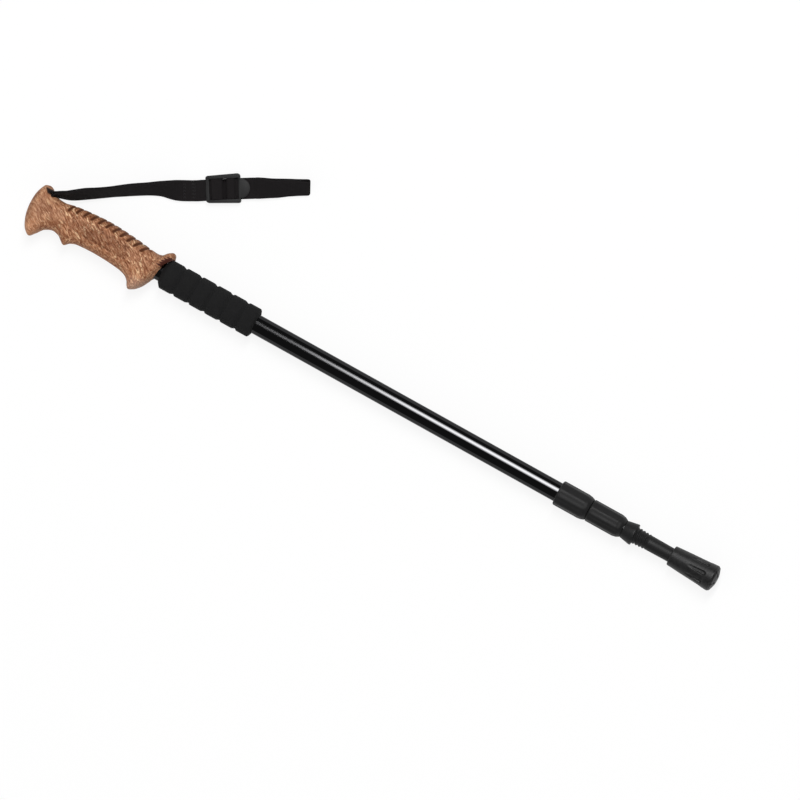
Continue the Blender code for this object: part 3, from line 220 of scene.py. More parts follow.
# The grip's finish: side panels, painted light on the front tips, a painted reflection on the hook, painted
# shade on the rim, busiest stretch, and turns in degrees
PANEL_LOW_X, PANEL_HIGH_X = 0.6, 0.655
PANEL_LOW_Y, PANEL_HIGH_Y = -5.5 * MM, 7.5 * MM
TIP_LIGHT_START, TIP_LIGHT_END = 12 * MM, 24 * MM
HOOK_REFLECTION_LOW_X, HOOK_REFLECTION_HIGH_X = 0.578, 0.6
RIM_TOOTH_PITCH = 2.4 * MM
BUSY_X, BUSY_REACH, BUSY_END = 0.628, 0.036, 0.066
STREAK_TURN = -33
PANEL_TURN = -20

# Wrist strap: webbing in two layers, from a pin in the head of the grip
WEB_WIDTH = 19 * MM
WEB_THICKNESS = 1.3 * MM
HALF_THICK = WEB_THICKNESS / 2
WEB_PITCH = WEB_THICKNESS + GAP
WEB_BEND = HALF_THICK + GAP
RIB_PITCH = 1.5 * MM
ZIGZAG_WIDTH = 2.4 * MM
WEB_STEP = 1 * MM
LEAN_STEP = 5 * MM
SLOT_HALF_WIDTH = WEB_WIDTH / 2 + 0.9 * MM
SLOT_HALF_HEIGHT = 2.9 * MM
SLOT_LENGTH = 16 * MM
SLOT_SHADE_TOP = (-8.4 * MM, 5.75 * MM, -0.466)
SLOT_SHADE_LOW = (-7.1 * MM, 0.8 * MM, -0.5)
SLOT_SHADE_START = (-7.1 * MM, 0.8 * MM, -0.26)
SLOT_SHADE_END = 2.5 * MM
PIN_RADIUS = 1.5 * MM
PIN_IN_WALL = 1.2 * MM
PIN_TO_FOLD = 9.2 * MM
PIN_ROOM = 0.5 * MM
LEG_FROM_FOLD = 5.1 * MM
STRAP_AZIMUTH = radians(209.1)
SETTLE_LENGTH = 55 * MM

# The strap's middle line from the fold at the slot's mouth, in millimetres and degrees: along, across, roll
STRAP_LINE = (
    (0, 0, 82.5), (4.6, -0.4, 78), (10, -0.75, 74), (15.4, -0.35, 70.3), (20.7, 0.3, 68.5),
    (26.1, 1, 67.6), (36.9, 1.9, 69.6), (47.7, 3, 70.3), (58.5, 4.1, 67), (69.2, 5, 64.5),
    (80, 5.5, 63), (90.8, 5.8, 55.9), (96.2, 5.5, 48), (101.6, 4.9, 35.6), (107, 4.5, 22),
    (112.3, 4.3, 12), (124, 4.2, 2), (130, 4.5, 0), (175, 6.3, 0), (180, 6.4, 17), (185, 6.4, 28),
    (193.2, 6.3, 38.5), (209.3, 6.3, 44), (221, 6.3, 53), (231, 6.3, 58),
)
STRAP_DRIFT = Vector((-0.4 * MM, -0.3 * MM, 0))
STRAP_TURNS = 4.5 * MM
BIGHT_END = 227.3 * MM
BIGHT_RADIUS = 1.5 * MM
BIGHT_SKEW = 0.1
BIGHT_SKEWS_FROM = 200 * MM
BIGHT_OPENS = 14 * MM
TAIL_END = 196 * MM
SEWN_END = 126 * MM
STEP_LENGTH = 11 * MM

# Buckle: places along the strap's middle line, and two bars by place and length
BUCKLE_START = 132.9 * MM
BUCKLE_END_BAR = 2.8 * MM
SEWN_BAR = (139.1 * MM, 7.6 * MM)
TURN_BAR = (152.9 * MM, 4.5 * MM)
TAB_START = 164.1 * MM
TAB_BAR = 1.3 * MM
TAB_LENGTH = 8.5 * MM
TAB_HALF_WIDTH = 8.75 * MM
TAB_INSET = 0.2 * MM
BAR_SETBACK = 0.2 * MM
BAR_THICKNESS = 2.2 * MM
RAILS_AT_START = (1.9 * MM, 2.8 * MM)
RAILS_AT_END = (3.3 * MM, 4.1 * MM)
RAIL_GAP = 0.1 * MM
RAIL_DROP = 4.4 * MM
BUCKLE_ARCH = 0.8 * MM
BUCKLE_CORNER = 2.6 * MM
BUCKLE_CHAMFER = 1.2 * MM
BUCKLE_EDGE = 0.35 * MM

# Stitches in the sewn end of the webbing
STITCH_ROWS = 9
STITCH_START = 113 * MM
STITCH_PITCH = 1.25 * MM
STITCH_LENGTH = 2.3 * MM
STITCH_SPACING = STITCH_LENGTH + 0.7 * MM
STITCH_RADIUS = 0.22 * MM
STITCH_MARGIN = 1.5 * MM
STITCH_LEAN = radians(18)


# Shapes

def ease(x, start, end):
    """Rise smoothly from 0 at start to 1 at end."""
    share = min(max((x - start) / (end - start), 0), 1)
    return share * share * (3 - 2 * share)


def smooth_table(rows):
    """Read the columns of rows at any value of the first column, on curves that keep each row's peaks."""
    keys = [row[0] for row in rows]

    def slope(i, column):
        below, *above = ((rows[k + 1][column] - rows[k][column]) / (keys[k + 1] - keys[k])
                         for k in (i - 1, i) if 0 <= k < len(keys) - 1)
        if not above:
            return below
        if below * above[0] <= 0:
            return 0
        before, after = keys[i] - keys[i - 1], keys[i + 1] - keys[i]
        return 3 * (before + after) / ((2 * after + before) / below + (after + 2 * before) / above[0])

    def read(key):
        i = min(max(bisect_right(keys, key) - 1, 0), len(keys) - 2)
        span = keys[i + 1] - keys[i]
        t = (key - keys[i]) / span
        out = []
        for column in range(1, len(rows[0])):
            low, high = rows[i][column], rows[i + 1][column]
            rise = (high - low) * t * t * (3 - 2 * t)
            lean = slope(i, column) * t * (1 - t) ** 2 - slope(i + 1, column) * t * t * (1 - t)
            out.append(low + rise + lean * span)
        return out

    return read


def softened(points, radius, steps=4):
    """An open outline with each inner corner turned into a curve, smaller where its sides are short."""
    path = [Vector(points[0])]
    for before, corner, after in zip(points, points[1:], points[2:]):
        corner = Vector(corner)
        arrive, leave = corner - Vector(before), Vector(after) - corner
        turn = arrive.angle(leave)
        if turn < 0.02:
            path.append(corner)
            continue
        cut = min(radius * tan(turn / 2), 0.45 * min(arrive.length, leave.length))
        start, end = corner - arrive.normalized() * cut, corner + leave.normalized() * cut
        for i in range(steps + 1):
            t = i / steps
            path.append(start.lerp(corner, t).lerp(corner.lerp(end, t), t))
    path.append(Vector(points[-1]))
    return path


def arc(centre, radius, start, end, steps):
    """Points on a circle, from one angle to another in degrees."""
    turns = [radians(start + (end - start) * i / steps) for i in range(steps + 1)]
    return [Vector((centre[0] + radius * cos(a), centre[1] + radius * sin(a))) for a in turns]


def turned(profile, sides, radius_at=None):
    """A shape turned about X from (x, radius) points. Points on the axis at both ends leave it open there."""
    shape = bmesh.new()
    points = [shape.verts.new((x, 0, r)) for x, r in profile]
    pairs = list(zip(points, points[1:]))
    if profile[0][1] > 0:
        pairs.append((points[-1], points[0]))
    edges = [shape.edges.new(pair) for pair in pairs]
    bmesh.ops.spin(shape, geom=points + edges, cent=(0, 0, 0), axis=(1, 0, 0), angle=TURN, steps=sides,
                   use_merge=True)
    bmesh.ops.remove_doubles(shape, verts=shape.verts, dist=1e-7)
    if radius_at:
        for vert in shape.verts:
            radius = hypot(vert.co.y, vert.co.z)
            if radius > 0:
                wanted = radius_at(vert.co.x, atan2(vert.co.z, vert.co.y), radius)
                vert.co.yz *= wanted / radius
    return shape


def prism(outline, low, high):
    """An outline in the XY plane, as a face at z = low that is extruded to z = high."""
    shape = bmesh.new()
    face = shape.faces.new([shape.verts.new((x, y, low)) for x, y in outline])
    raised = bmesh.ops.extrude_face_region(shape, geom=[face], use_keep_orig=True)["geom"]
    corners = [item for item in raised if isinstance(item, bmesh.types.BMVert)]
    bmesh.ops.translate(shape, vec=(0, 0, high - low), verts=corners)
    return shape


def block(low, high):
    """A box between two corners."""
    low, high = Vector(low), Vector(high)
    shape = bmesh.new()
    bmesh.ops.create_cube(shape, size=1)
    bmesh.ops.scale(shape, vec=high - low, verts=shape.verts)
    bmesh.ops.translate(shape, vec=(low + high) / 2, verts=shape.verts)
    return shape


def grid(rings, sides, size=1):
    """A flat grid, also for a skin of rings that each go round some sides."""
    shape = bmesh.new()
    bmesh.ops.create_grid(shape, x_segments=rings, y_segments=sides, size=size)
    return shape


def grid_place(vert, rings, sides):
    """Which ring and which side of its grid a point is on."""
    return round((vert.co.x + 1) / 2 * rings), round((vert.co.y + 1) / 2 * sides)


def close_skin(shape):
    """Sew a wrapped grid along its seam and fill its two ends."""
    bmesh.ops.remove_doubles(shape, verts=shape.verts, dist=1e-6)
    bmesh.ops.holes_fill(shape, edges=[edge for edge in shape.edges if edge.is_boundary], sides=0)


def added(name, data):
    """An object in the scene, from a mesh, a lamp or a camera."""
    made = bpy.data.objects.new(name, data)
    bpy.context.scene.collection.objects.link(made)
    return made


def smoothed(mesh, sharp):
    """Smooth shading, but for edges sharper than an angle in degrees."""
    mesh.shade_smooth()
    mesh.set_sharp_from_angle(angle=radians(sharp))


def piece(name, shape, finish, place=None, sharp=35):
    """An object at the origin from a bmesh, with its place in its mesh and its faces outwards."""
    if place:
        bmesh.ops.transform(shape, matrix=place, verts=shape.verts)
    bmesh.ops.remove_doubles(shape, verts=shape.verts, dist=1e-7)
    bmesh.ops.recalc_face_normals(shape, faces=shape.faces)
    mesh = bpy.data.meshes.new(name)
    shape.to_mesh(mesh)
    shape.free()
    smoothed(mesh, sharp)
    if finish:
        mesh.materials.append(finish)
    return added(name, mesh)


def modified(made, kind, **settings):
    """Apply a modifier to a piece's mesh."""
    step = made.modifiers.new("step", kind)
    for name, value in settings.items():
        setattr(step, name, value)
    ready = made.evaluated_get(bpy.context.evaluated_depsgraph_get())
    mesh = bpy.data.meshes.new_from_object(ready)
    made.modifiers.clear()
    made.data = mesh


def combine(target, shape, operation, place=None):
    """Cut a shape out of a piece, join it on or keep what both share."""
    tool = piece("tool", shape, None, place)
    modified(target, "BOOLEAN", operation=operation, solver="EXACT", object=tool)
    bpy.data.objects.remove(tool)


def put_in_order(mesh):
    """Sort a mesh's points and faces, which the boolean solver lists differently from run to run."""
    points = sorted(mesh.vertices, key=lambda point: tuple(point.co))
    place = {point.index: i for i, point in enumerate(points)}
    faces = []
    for polygon in mesh.polygons:
        loop = [place[i] for i in polygon.vertices]
        first = loop.index(min(loop))
        faces.append(loop[first:] + loop[:first])
    places = [tuple(point.co) for point in points]
    mesh.clear_geometry()
    mesh.from_pydata(places, [], sorted(faces))


# Materials

def connect(socket, value):
    """Feed an input with another node's output, or set its number, direction or colour."""
    if isinstance(value, bpy.types.NodeSocket):
        socket.id_data.links.new(value, socket)
    else:
        socket.default_value = (*value, 1) if socket.type == "RGBA" else value


def node(tree, kind, inputs=(), **settings):
    """A shader node with its settings, and its inputs given as values or as other nodes' outputs."""
    made = tree.nodes.new("ShaderNode" + kind)
    for name, value in settings.items():
        setattr(made, name, value)
    for key, value in dict(inputs).items():
        connect(made.inputs[key], value)
    return made


def tree_of(*values):
    """The node tree of the first of the values that is a node's output."""
    return next(value.id_data for value in values if isinstance(value, bpy.types.NodeSocket))


def calc(operation, *values):
    return node(tree_of(*values), "Math", dict(enumerate(values)), operation=operation).outputs[0]


def times(value, factor):
    return calc("MULTIPLY", value, factor)


def scaled(value, factor, offset):
    """A value times a factor, plus an offset."""
    return calc("MULTIPLY_ADD", value, factor, offset)


def share_between(value, start, end, *reach, clamp=True):
    """How far a value is from start to end: 0 to 1, or between two other numbers."""
    inputs = dict(enumerate((value, start, end, *reach)))
    return node(value.id_data, "MapRange", inputs, clamp=clamp).outputs[0]


def ramp(value, *stops):
    """Colours or greys by value, from (place, colour) stops."""
    made = node(value.id_data, "ValToRGB", {"Fac": value})
    elements = made.color_ramp.elements
    while len(elements) < len(stops):
        elements.new(1)
    for element, (place, colour) in zip(elements, stops):
        element.position = place
        element.color = (*colour, 1) if isinstance(colour, tuple) else (colour, colour, colour, 1)
    return made.outputs["Color"]


def mixed(share, first, second, how="MIX"):
    """Two colours mixed, each an output or plain red, green and blue."""
    tree = tree_of(share, first, second)
    inputs = {0: share, 6: first, 7: second}
    return node(tree, "Mix", inputs, data_type="RGBA", blend_type=how).outputs[2]


def object_place(tree):
    return node(tree, "TexCoord").outputs["Object"]


def parts(vector):
    """A vector's X, Y and Z."""
    return node(vector.id_data, "SeparateXYZ", {0: vector}).outputs


def stretched(tree, cell, turn=0):
    """Object coordinates counted in cells of a size in millimetres, turned about Z by some degrees."""
    sides = cell if isinstance(cell, tuple) else (cell,) * 3
    inputs = {"Vector": object_place(tree), "Rotation": (0, 0, radians(turn)),
              "Scale": [side * MM for side in sides]}
    return node(tree, "Mapping", inputs, vector_type="TEXTURE").outputs["Vector"]


def noise(tree, cell, detail=3, roughness=0.5, distortion=0, turn=0):
    """Noise in cells of a size in millimetres, turned about Z by some degrees."""
    inputs = {"Vector": stretched(tree, cell, turn), "Scale": 1, "Detail": detail, "Roughness": roughness,
              "Distortion": distortion}
    return node(tree, "TexNoise", inputs).outputs["Fac"]


def dress(shader, **sockets):
    for key, value in sockets.items():
        connect(shader.inputs[key.replace("_", " ")], value)


def bump(shader, height, depth, strength=1):
    """Raise the surface by height times a depth in millimetres."""
    made = node(shader.id_data, "Bump", {"Height": height, "Distance": depth * MM, "Strength": strength})
    dress(shader, Normal=made.outputs["Normal"])


def new_finish(name, **sockets):
    """A material with constant values on its shader's own sockets."""
    made = bpy.data.materials.new(name)
    made.use_nodes = True
    shader = made.node_tree.nodes["Principled BSDF"]
    dress(shader, **sockets)
    return made, made.node_tree, shader


def cork_finish():
    """Cork-like marbled moulding: diagonal streaks, grooves whose own dark colour has painted shade added,
    painted shade on the rim and round the strap's slot, painted light on the front tips and a painted
    reflection on the hook, and a marked panel on each side.
    """
    made, tree, shader = new_finish("marbled_cork", Roughness=0.6, Specular_IOR_Level=0.25)
    x, y, _ = parts(object_place(tree))
    from_busy = calc("ABSOLUTE", calc("SUBTRACT", x, BUSY_X))
    busy = share_between(from_busy, BUSY_REACH, BUSY_END, 1, 0)
    fine = noise(tree, (5.4, 1.1, 1.5), 4, 0.6, 0.5, STREAK_TURN)
    thin = noise(tree, (4.4, 0.85, 1.1), 3, 0.6, 0.4, STREAK_TURN)
    broad = noise(tree, (11, 6, 7), 3, 0.6, 1, STREAK_TURN)
    speck = noise(tree, (0.9, 0.7, 0.7), 2, turn=STREAK_TURN)
    bold = noise(tree, (7, 1.8, 2.2), 4, 0.6, 0.8, STREAK_TURN)
    quiet = ramp(fine, (0.34, (0.285, 0.112, 0.052)), (0.46, (0.43, 0.197, 0.106)),
                 (0.54, (0.5, 0.252, 0.143)), (0.66, (0.66, 0.4, 0.245)))
    strong = ramp(fine, (0.35, (0.165, 0.053, 0.021)), (0.44, (0.31, 0.114, 0.05)),
                  (0.52, (0.43, 0.188, 0.096)), (0.62, (0.66, 0.35, 0.195)))
    tint = ramp(broad, (0.36, (0.74, 0.63, 0.54)), (0.5, (1, 1, 1)), (0.66, (1.12, 1.08, 1)))
    colour = mixed(1, mixed(busy, quiet, strong), tint, "MULTIPLY")
    flecks = times(ramp(thin, (0.38, 1), (0.44, 0)), scaled(busy, 0.4, 0.25))
    colour = mixed(flecks, colour, (0.11, 0.03, 0.01))
    cream = times(ramp(bold, (0.58, 0), (0.63, 1)), scaled(busy, 0.6, 0.25))
    colour = mixed(cream, colour, (0.95, 0.65, 0.38))
    marks = side_marks(tree, broad)
    colour = mixed(times(marks, 0.9), colour, (0.125, 0.036, 0.013))
    # Painted light: the front tips are lighter, and the hook has a greyer, lighter painted reflection.
    painted_tip_light = share_between(y, TIP_LIGHT_START, TIP_LIGHT_END)
    colour = mixed(painted_tip_light, colour, (1.35, 1.35, 1.35), "MULTIPLY")
    painted_hook_reflection = times(times(painted_tip_light, share_between(x, HOOK_REFLECTION_HIGH_X, HOOK_REFLECTION_LOW_X)), 0.6)
    colour = mixed(painted_hook_reflection, colour, (0.62, 0.44, 0.36))
    rim, groove, slot = (node(tree, "Attribute", attribute_name=name).outputs["Fac"]
                         for name in ("rim", "groove", "slot"))
    # Painted shade on the flange's rim where it faces the foam, with a toothed edge.
    teeth = calc("SINE", times(y, TURN / RIM_TOOTH_PITCH))
    rim = scaled(teeth, 0.28, scaled(thin, 1.4, rim))
    rim = ramp(calc("SUBTRACT", rim, 0.7), (0.45, 0), (0.62, 1))
    colour = mixed(rim, colour, (0.075, 0.018, 0.01))
    # The grooves' own darker colour, with painted shade in them and along the ribs' back edge.
    colour = mixed(ramp(groove, (0, 0), (0.4, 1)), colour, (0.115, 0.036, 0.012))
    # Painted shade in the strap's slot and round its mouth, from the "slot" layer.
    colour = mixed(slot, colour, (0.012, 0.0055, 0.0035))
    dress(shader, Base_Color=colour)
    bump(shader, scaled(marks, -0.4, scaled(speck, 0.3, fine)), 0.6, 0.55)
    return made


def side_marks(tree, broad):
    """Curved strokes in a long panel on each side of the grip."""
    x, y, _ = parts(object_place(tree))
    along = share_between(x, PANEL_LOW_X, PANEL_HIGH_X, -1, 1, clamp=False)
    across = share_between(y, PANEL_LOW_Y, PANEL_HIGH_Y, -1, 1, clamp=False)
    panel = ramp(calc("MAXIMUM", calc("ABSOLUTE", along), calc("ABSOLUTE", across)), (0.85, 1), (1, 0))
    wander = noise(tree, 5, 2)
    shift = node(tree, "CombineXYZ", {"X": wander, "Y": times(wander, -0.6)}).outputs[0]
    inputs = {0: stretched(tree, (7.5, 5.5, 12), PANEL_TURN), 1: shift}
    shifted = node(tree, "VectorMath", inputs, operation="ADD").outputs[0]
    cells = node(tree, "TexVoronoi", {"Vector": shifted, "Randomness": 0.6}, feature="DISTANCE_TO_EDGE")
    strokes = ramp(cells.outputs["Distance"], (0.09, 1), (0.16, 0))
    return times(times(strokes, ramp(broad, (0.42, 0.1), (0.5, 1))), panel)


def anodised_finish():
    """Black anodised tube, with faint lengthwise rub marks. Its edges mirror less than bare metal would."""
    made, tree, shader = new_finish("black_anodised", Metallic=1, Base_Color=(0.032, 0.032, 0.033),
                                    Specular_Tint=(0.6, 0.6, 0.6))
    drawn = noise(tree, (60, 0.5, 0.5), 3, 0.6)
    cloud = noise(tree, (40, 14, 14), 2)
    dress(shader, Roughness=scaled(cloud, 0.012, scaled(drawn, 0.02, 0.055)))
    bump(shader, drawn, 0.01, 0.3)
    return made


def moulded_finish(name, colour, roughness, gloss):
    """Black moulded plastic with a fine grain and slightly uneven gloss."""
    made, tree, shader = new_finish(name, Specular_IOR_Level=gloss)
    grains = noise(tree, 0.28, 2, 0.6)
    cloud = noise(tree, 9, 3, 0.55)
    dress(shader, Base_Color=mixed(cloud, [c * 0.8 for c in colour], [c * 1.25 for c in colour]),
          Roughness=scaled(cloud, 0.16, roughness - 0.08))
    bump(shader, grains, 0.03, 0.5)
    return made


def foam_finish():
    """Black closed-cell foam: matt, with fine pores."""
    made, tree, shader = new_finish("black_foam", Roughness=0.92, Specular_IOR_Level=0.25)
    pores = node(tree, "TexVoronoi", {"Vector": stretched(tree, 0.5)}).outputs["Distance"]
    cloud = noise(tree, 6)
    dress(shader, Base_Color=mixed(cloud, (0.0085, 0.0085, 0.0088), (0.0135, 0.0135, 0.0138)))
    bump(shader, pores, 0.12, 0.6)
    return made


def webbing_finish():
    """Black woven webbing: a herringbone of ribs along the strip's own coordinates, in metres."""
    made, tree, shader = new_finish("black_webbing", Roughness=0.85, Specular_IOR_Level=0.1,
                                    Sheen_Weight=0.03, Sheen_Roughness=0.5)
    side, length, _ = parts(node(tree, "UVMap", uv_map="weave").outputs["UV"])
    along = calc("DIVIDE", length, RIB_PITCH)
    across = calc("DIVIDE", side, ZIGZAG_WIDTH)
    rib = calc("SINE", times(calc("ADD", along, times(calc("PINGPONG", across, 1), 1.6)), TURN))
    yarn = calc("SINE", times(across, 6 * TURN))
    height = scaled(yarn, 0.35, rib)
    fuzz = noise(tree, 0.3, 2)
    # Painted shade: the weave's hollows are darker and its raised ribs lighter, by the same height as the
    # bump.
    share = scaled(height, 0.35, 0.5)
    dress(shader, Base_Color=mixed(share, (0.0065, 0.0056, 0.006), (0.021, 0.0185, 0.0195)))
    bump(shader, scaled(fuzz, 0.5, height), 0.12, 0.6)
    return made


def rubber_finish():
    """Black moulded rubber, slightly dusty."""
    made, tree, shader = new_finish("black_rubber", Specular_IOR_Level=0.32)
    dust = noise(tree, 3, 5, 0.65)
    grain = noise(tree, 0.35, 2)
    dress(shader, Base_Color=ramp(dust, (0.35, (0.0085, 0.0085, 0.0087)), (0.7, (0.0185, 0.0185, 0.0185))),
          Roughness=scaled(dust, 0.22, 0.34))
    bump(shader, grain, 0.05, 0.5)
    return made


def marked_finish(name, cell, detail, rough, shades, relief, uneven=None, **sockets):
    """A finish in which one noise of marks sets the colour, a slight relief and the roughness."""
    made, tree, shader = new_finish(name, **sockets)
    marks = noise(tree, cell, detail, rough)
    dress(shader, Base_Color=mixed(marks, *shades))
    if uneven:
        dress(shader, Roughness=scaled(marks, *uneven))
    bump(shader, marks, *relief)
    return made


def thread_finish():
    """Black sewing thread, with its twist."""
    shades = (0.008, 0.008, 0.008), (0.026, 0.025, 0.026)
    return marked_finish("black_thread", 0.15, 2, 0.5, shades, (0.05, 0.6), Roughness=0.6)


def metal_finish(name, colour, roughness, cell):
    """Plated or machined metal, with marks of a given size."""
    shades = [c * 0.75 for c in colour], colour
    return marked_finish(name, cell, 4, 0.6, shades, (0.02, 0.4), (0.2, roughness - 0.1), Metallic=1)


def nylon_finish():
    """White nylon of the split sleeves, with faint flow marks."""
    shades = (0.6, 0.59, 0.56), (0.76, 0.75, 0.72)
    return marked_finish("white_nylon", (8, 2, 2), 3, 0.5, shades, (0.03, 0.4), (0.2, 0.35),
                         Subsurface_Weight=0.15, Subsurface_Scale=MM)


# Studio: camera, floor, world and lamps

def camera():
    data = bpy.data.cameras.new("camera")
    data.lens = LENS
    data.sensor_width = SENSOR
    made = added("camera", data)
    distance = PICTURE_WIDTH * LENS / SENSOR
    lean = Matrix.Rotation(-PICTURE_LEAN, 4, "Y")
    made.matrix_world = (Matrix.Translation(PICTURE_MIDDLE) @ lean @ Matrix.Translation((0, 0, distance))
                         @ Matrix.Rotation(PICTURE_TURN, 4, "Z"))
    bpy.context.scene.camera = made


def studio_floor():
    """A white floor that takes the shadow, and glows where a camera, a gloss or a clear surface sees it."""
    paper = bpy.data.materials.new("white_floor")
    paper.use_nodes = True
    tree = paper.node_tree
    tree.nodes.clear()
    rays = node(tree, "LightPath").outputs
    seen = calc("MAXIMUM", rays["Is Camera Ray"], rays["Is Glossy Ray"])
    seen = calc("MAXIMUM", seen, rays["Is Transmission Ray"])
    grain = mixed(noise(tree, 2, 2), [0.99] * 3, [1.01] * 3)
    shade = mixed(1, mixed(seen, [FLOOR_ALBEDO] * 3, [FLOOR_SEEN_ALBEDO] * 3), grain, "MULTIPLY")
    diffuse = node(tree, "BsdfDiffuse", {"Color": shade}).outputs[0]
    glow = node(tree, "Emission", {"Strength": times(seen, FLOOR_GLOW)}).outputs[0]
    both = node(tree, "AddShader", {0: diffuse, 1: glow}).outputs[0]
    node(tree, "OutputMaterial", {"Surface": both})
    made = piece("floor", grid(1, 1, FLOOR_HALF_WIDTH), paper, Matrix.Translation((0, 0, cad_box[0].z)))


def studio_world():
    """White round the horizon and a dim ceiling, so that black gloss stays black."""
    world = bpy.data.worlds.new("studio")
    bpy.context.scene.world = world
    world.use_nodes = True
    tree = world.node_tree
    height = parts(node(tree, "TexCoord").outputs["Generated"])["Z"]
    colour = ramp(height, (HORIZON_TOP, 1), (CEILING_START, CEILING_LIGHT))
    connect(tree.nodes["Background"].inputs["Color"], colour)


def lamps():
    """A wide soft light from one side, and a softbox from the other whose reflection is the tube's stripe."""
    sun = bpy.data.lights.new("overhead", "SUN")
    sun.energy = SUN_STRENGTH
    sun.angle = SUN_ANGLE
    high = added("overhead", sun)
    high.rotation_euler = (-SUN_TILT, 0, 0)
    high.visible_glossy = False

    box = bpy.data.lights.new("softbox", "AREA")
    box.shape = "RECTANGLE"
    box.size = SOFTBOX_HIGH_X - SOFTBOX_LOW_X
    box.size_y = SOFTBOX_WIDTH
    box.energy = SOFTBOX_WATTS
    box.use_nodes = True
    tree = box.node_tree
    x, y, _ = parts(node(tree, "NewGeometry").outputs["Parametric"])
    lengthwise = ramp(x, (0, 0), (0.2, 0.97), (0.855, 1), (1, 0))
    crosswise = ramp(y, (0, 0), (0.5, 1), (1, 0))
    for colours in (lengthwise, crosswise):
        colours.node.color_ramp.interpolation = "EASE"
    connect(tree.nodes["Emission"].inputs["Strength"], times(lengthwise, crosswise))
    beside = added("softbox", box)
    across = -SOFTBOX_HEIGHT * tan(SOFTBOX_TILT)
    beside.location = ((SOFTBOX_LOW_X + SOFTBOX_HIGH_X) / 2, across, SOFTBOX_HEIGHT)
    beside.rotation_euler = (SOFTBOX_TILT, 0, 0)
    beside.visible_camera = False


# Wrist strap

STRAP_AT = smooth_table([(s * MM, t * MM, radians(roll)) for s, t, roll in STRAP_LINE])
STRAP_PLACE = Matrix.Translation(FOLD_PLACE) @ Matrix.Rotation(STRAP_AZIMUTH, 4, "Z")


def strap_frame(s):
    """A point of the strap's middle line, with its width's direction and its normal there."""
    t, roll = STRAP_AT(max(s, 0))
    if s < 0:
        roll += (radians(90) - roll) * (1 - ease(s, -STRAP_TURNS, 0))
    ahead, behind = (STRAP_AT(max(s + step, 0))[0] for step in (LEAN_STEP / 2, -LEAN_STEP / 2))
    lean = atan2(ahead - behind, LEAN_STEP) * ease(s, 0, 2 * LEAN_STEP)
    stack = WEB_PITCH / 2 + HALF_THICK
    rest = SURFACE_Z + WEB_WIDTH / 2 * sin(roll) + stack * cos(roll)
    settled = ease(s, 0, SETTLE_LENGTH)
    lift = -(SURFACE_Z + WEB_WIDTH / 2) * (1 - settled)
    across = Vector((-sin(lean), cos(lean), 0))
    up = Vector((0, 0, 1))
    width = across * cos(roll) + up * sin(roll)
    normal = up * cos(roll) - across * sin(roll)
    return Vector((s, t, rest + lift)) + STRAP_DRIFT * settled, width, normal


def level(number):
    """The height of a layer's middle: the lower run is 0, the upper run 1, and so on up."""
    return (number - 0.5) * WEB_PITCH


BARS_LOW = level(1) + WEB_BEND
OVER_BARS = BARS_LOW + BAR_THICKNESS + WEB_BEND
END_BARS_LOW = level(2) + WEB_BEND


def turn_round(bar_start, bar_length):
    """The two upright stretches of webbing that turn over a bar, as places along the strap."""
    return bar_start - WEB_BEND, bar_start + bar_length + WEB_BEND


def webbing_path():
    """The whole strip, from its sewn end over the buckle's bar, round the pin and the bight, to its tail."""
    rise, fall = turn_round(*SEWN_BAR)
    path = softened([
        (SEWN_END, level(1)), (fall, level(1)), (fall, OVER_BARS), (rise, OVER_BARS), (rise, level(2)),
        (SEWN_END - 1 * MM, level(2)), (SEWN_END - STEP_LENGTH - 1 * MM, level(1)), (0, level(1)),
    ], 2 * WEB_BEND)
    radius = PIN_RADIUS + WEB_BEND
    leg = level(1)
    leg_start = PIN_TO_FOLD - LEG_FROM_FOLD
    touch = degrees(atan2(leg, leg_start) + acos(radius / hypot(leg_start, leg)))
    path += arc((-PIN_TO_FOLD, 0), radius, touch, 360 - touch, 20)
    centre = BIGHT_END - BIGHT_RADIUS - HALF_THICK
    opens = centre - BIGHT_OPENS
    opening = []
    for i in range(9):
        spread = (BIGHT_RADIUS + level(0)) * ease(i, 0, 9)
        opening.append(Vector((opens + BIGHT_OPENS * i / 9, level(0) - spread)))
    path += [Vector((0, level(0))), *opening, *arc((centre, 0), BIGHT_RADIUS, -90, 90, 16)]
    path += [Vector((s, -height)) for s, height in opening[:0:-1]]
    fall, rise = turn_round(*TURN_BAR)
    path += softened([
        (opens, level(1)), (TAIL_END + STEP_LENGTH, level(1)), (TAIL_END + 1 * MM, level(2)),
        (rise, level(2)), (rise, OVER_BARS), (fall, OVER_BARS), (fall, level(1)),
        (TAIL_END - 1 * MM, level(1)),
    ], 2 * WEB_BEND)
    return path


def stepped(path, step):
    """The path with points added, so that none are further apart than a step."""
    points = [path[0]]
    for start, end in zip(path, path[1:]):
        count = ceil((end - start).length / step)
        points += [start.lerp(end, i / count) for i in range(1, count + 1)]
    return [points[0]] + [b for a, b in zip(points, points[1:]) if (b - a).length > step / 50]


def lengths_along(points):
    """How far along its path each point is."""
    return [0, *accumulate((b - a).length for a, b in zip(points, points[1:]))]


def section_loop():
    """Round a strip's section, from (side, height) of its middle: two faces and two rounded selvedges."""
    flat, faces = WEB_WIDTH / 2 - HALF_THICK, 12
    loop = [Vector((2 * flat * i / faces - flat, -HALF_THICK)) for i in range(faces)]
    loop += arc((flat, 0), HALF_THICK, -90, 90, 5)[:-1]
    return loop + [-point for point in loop]


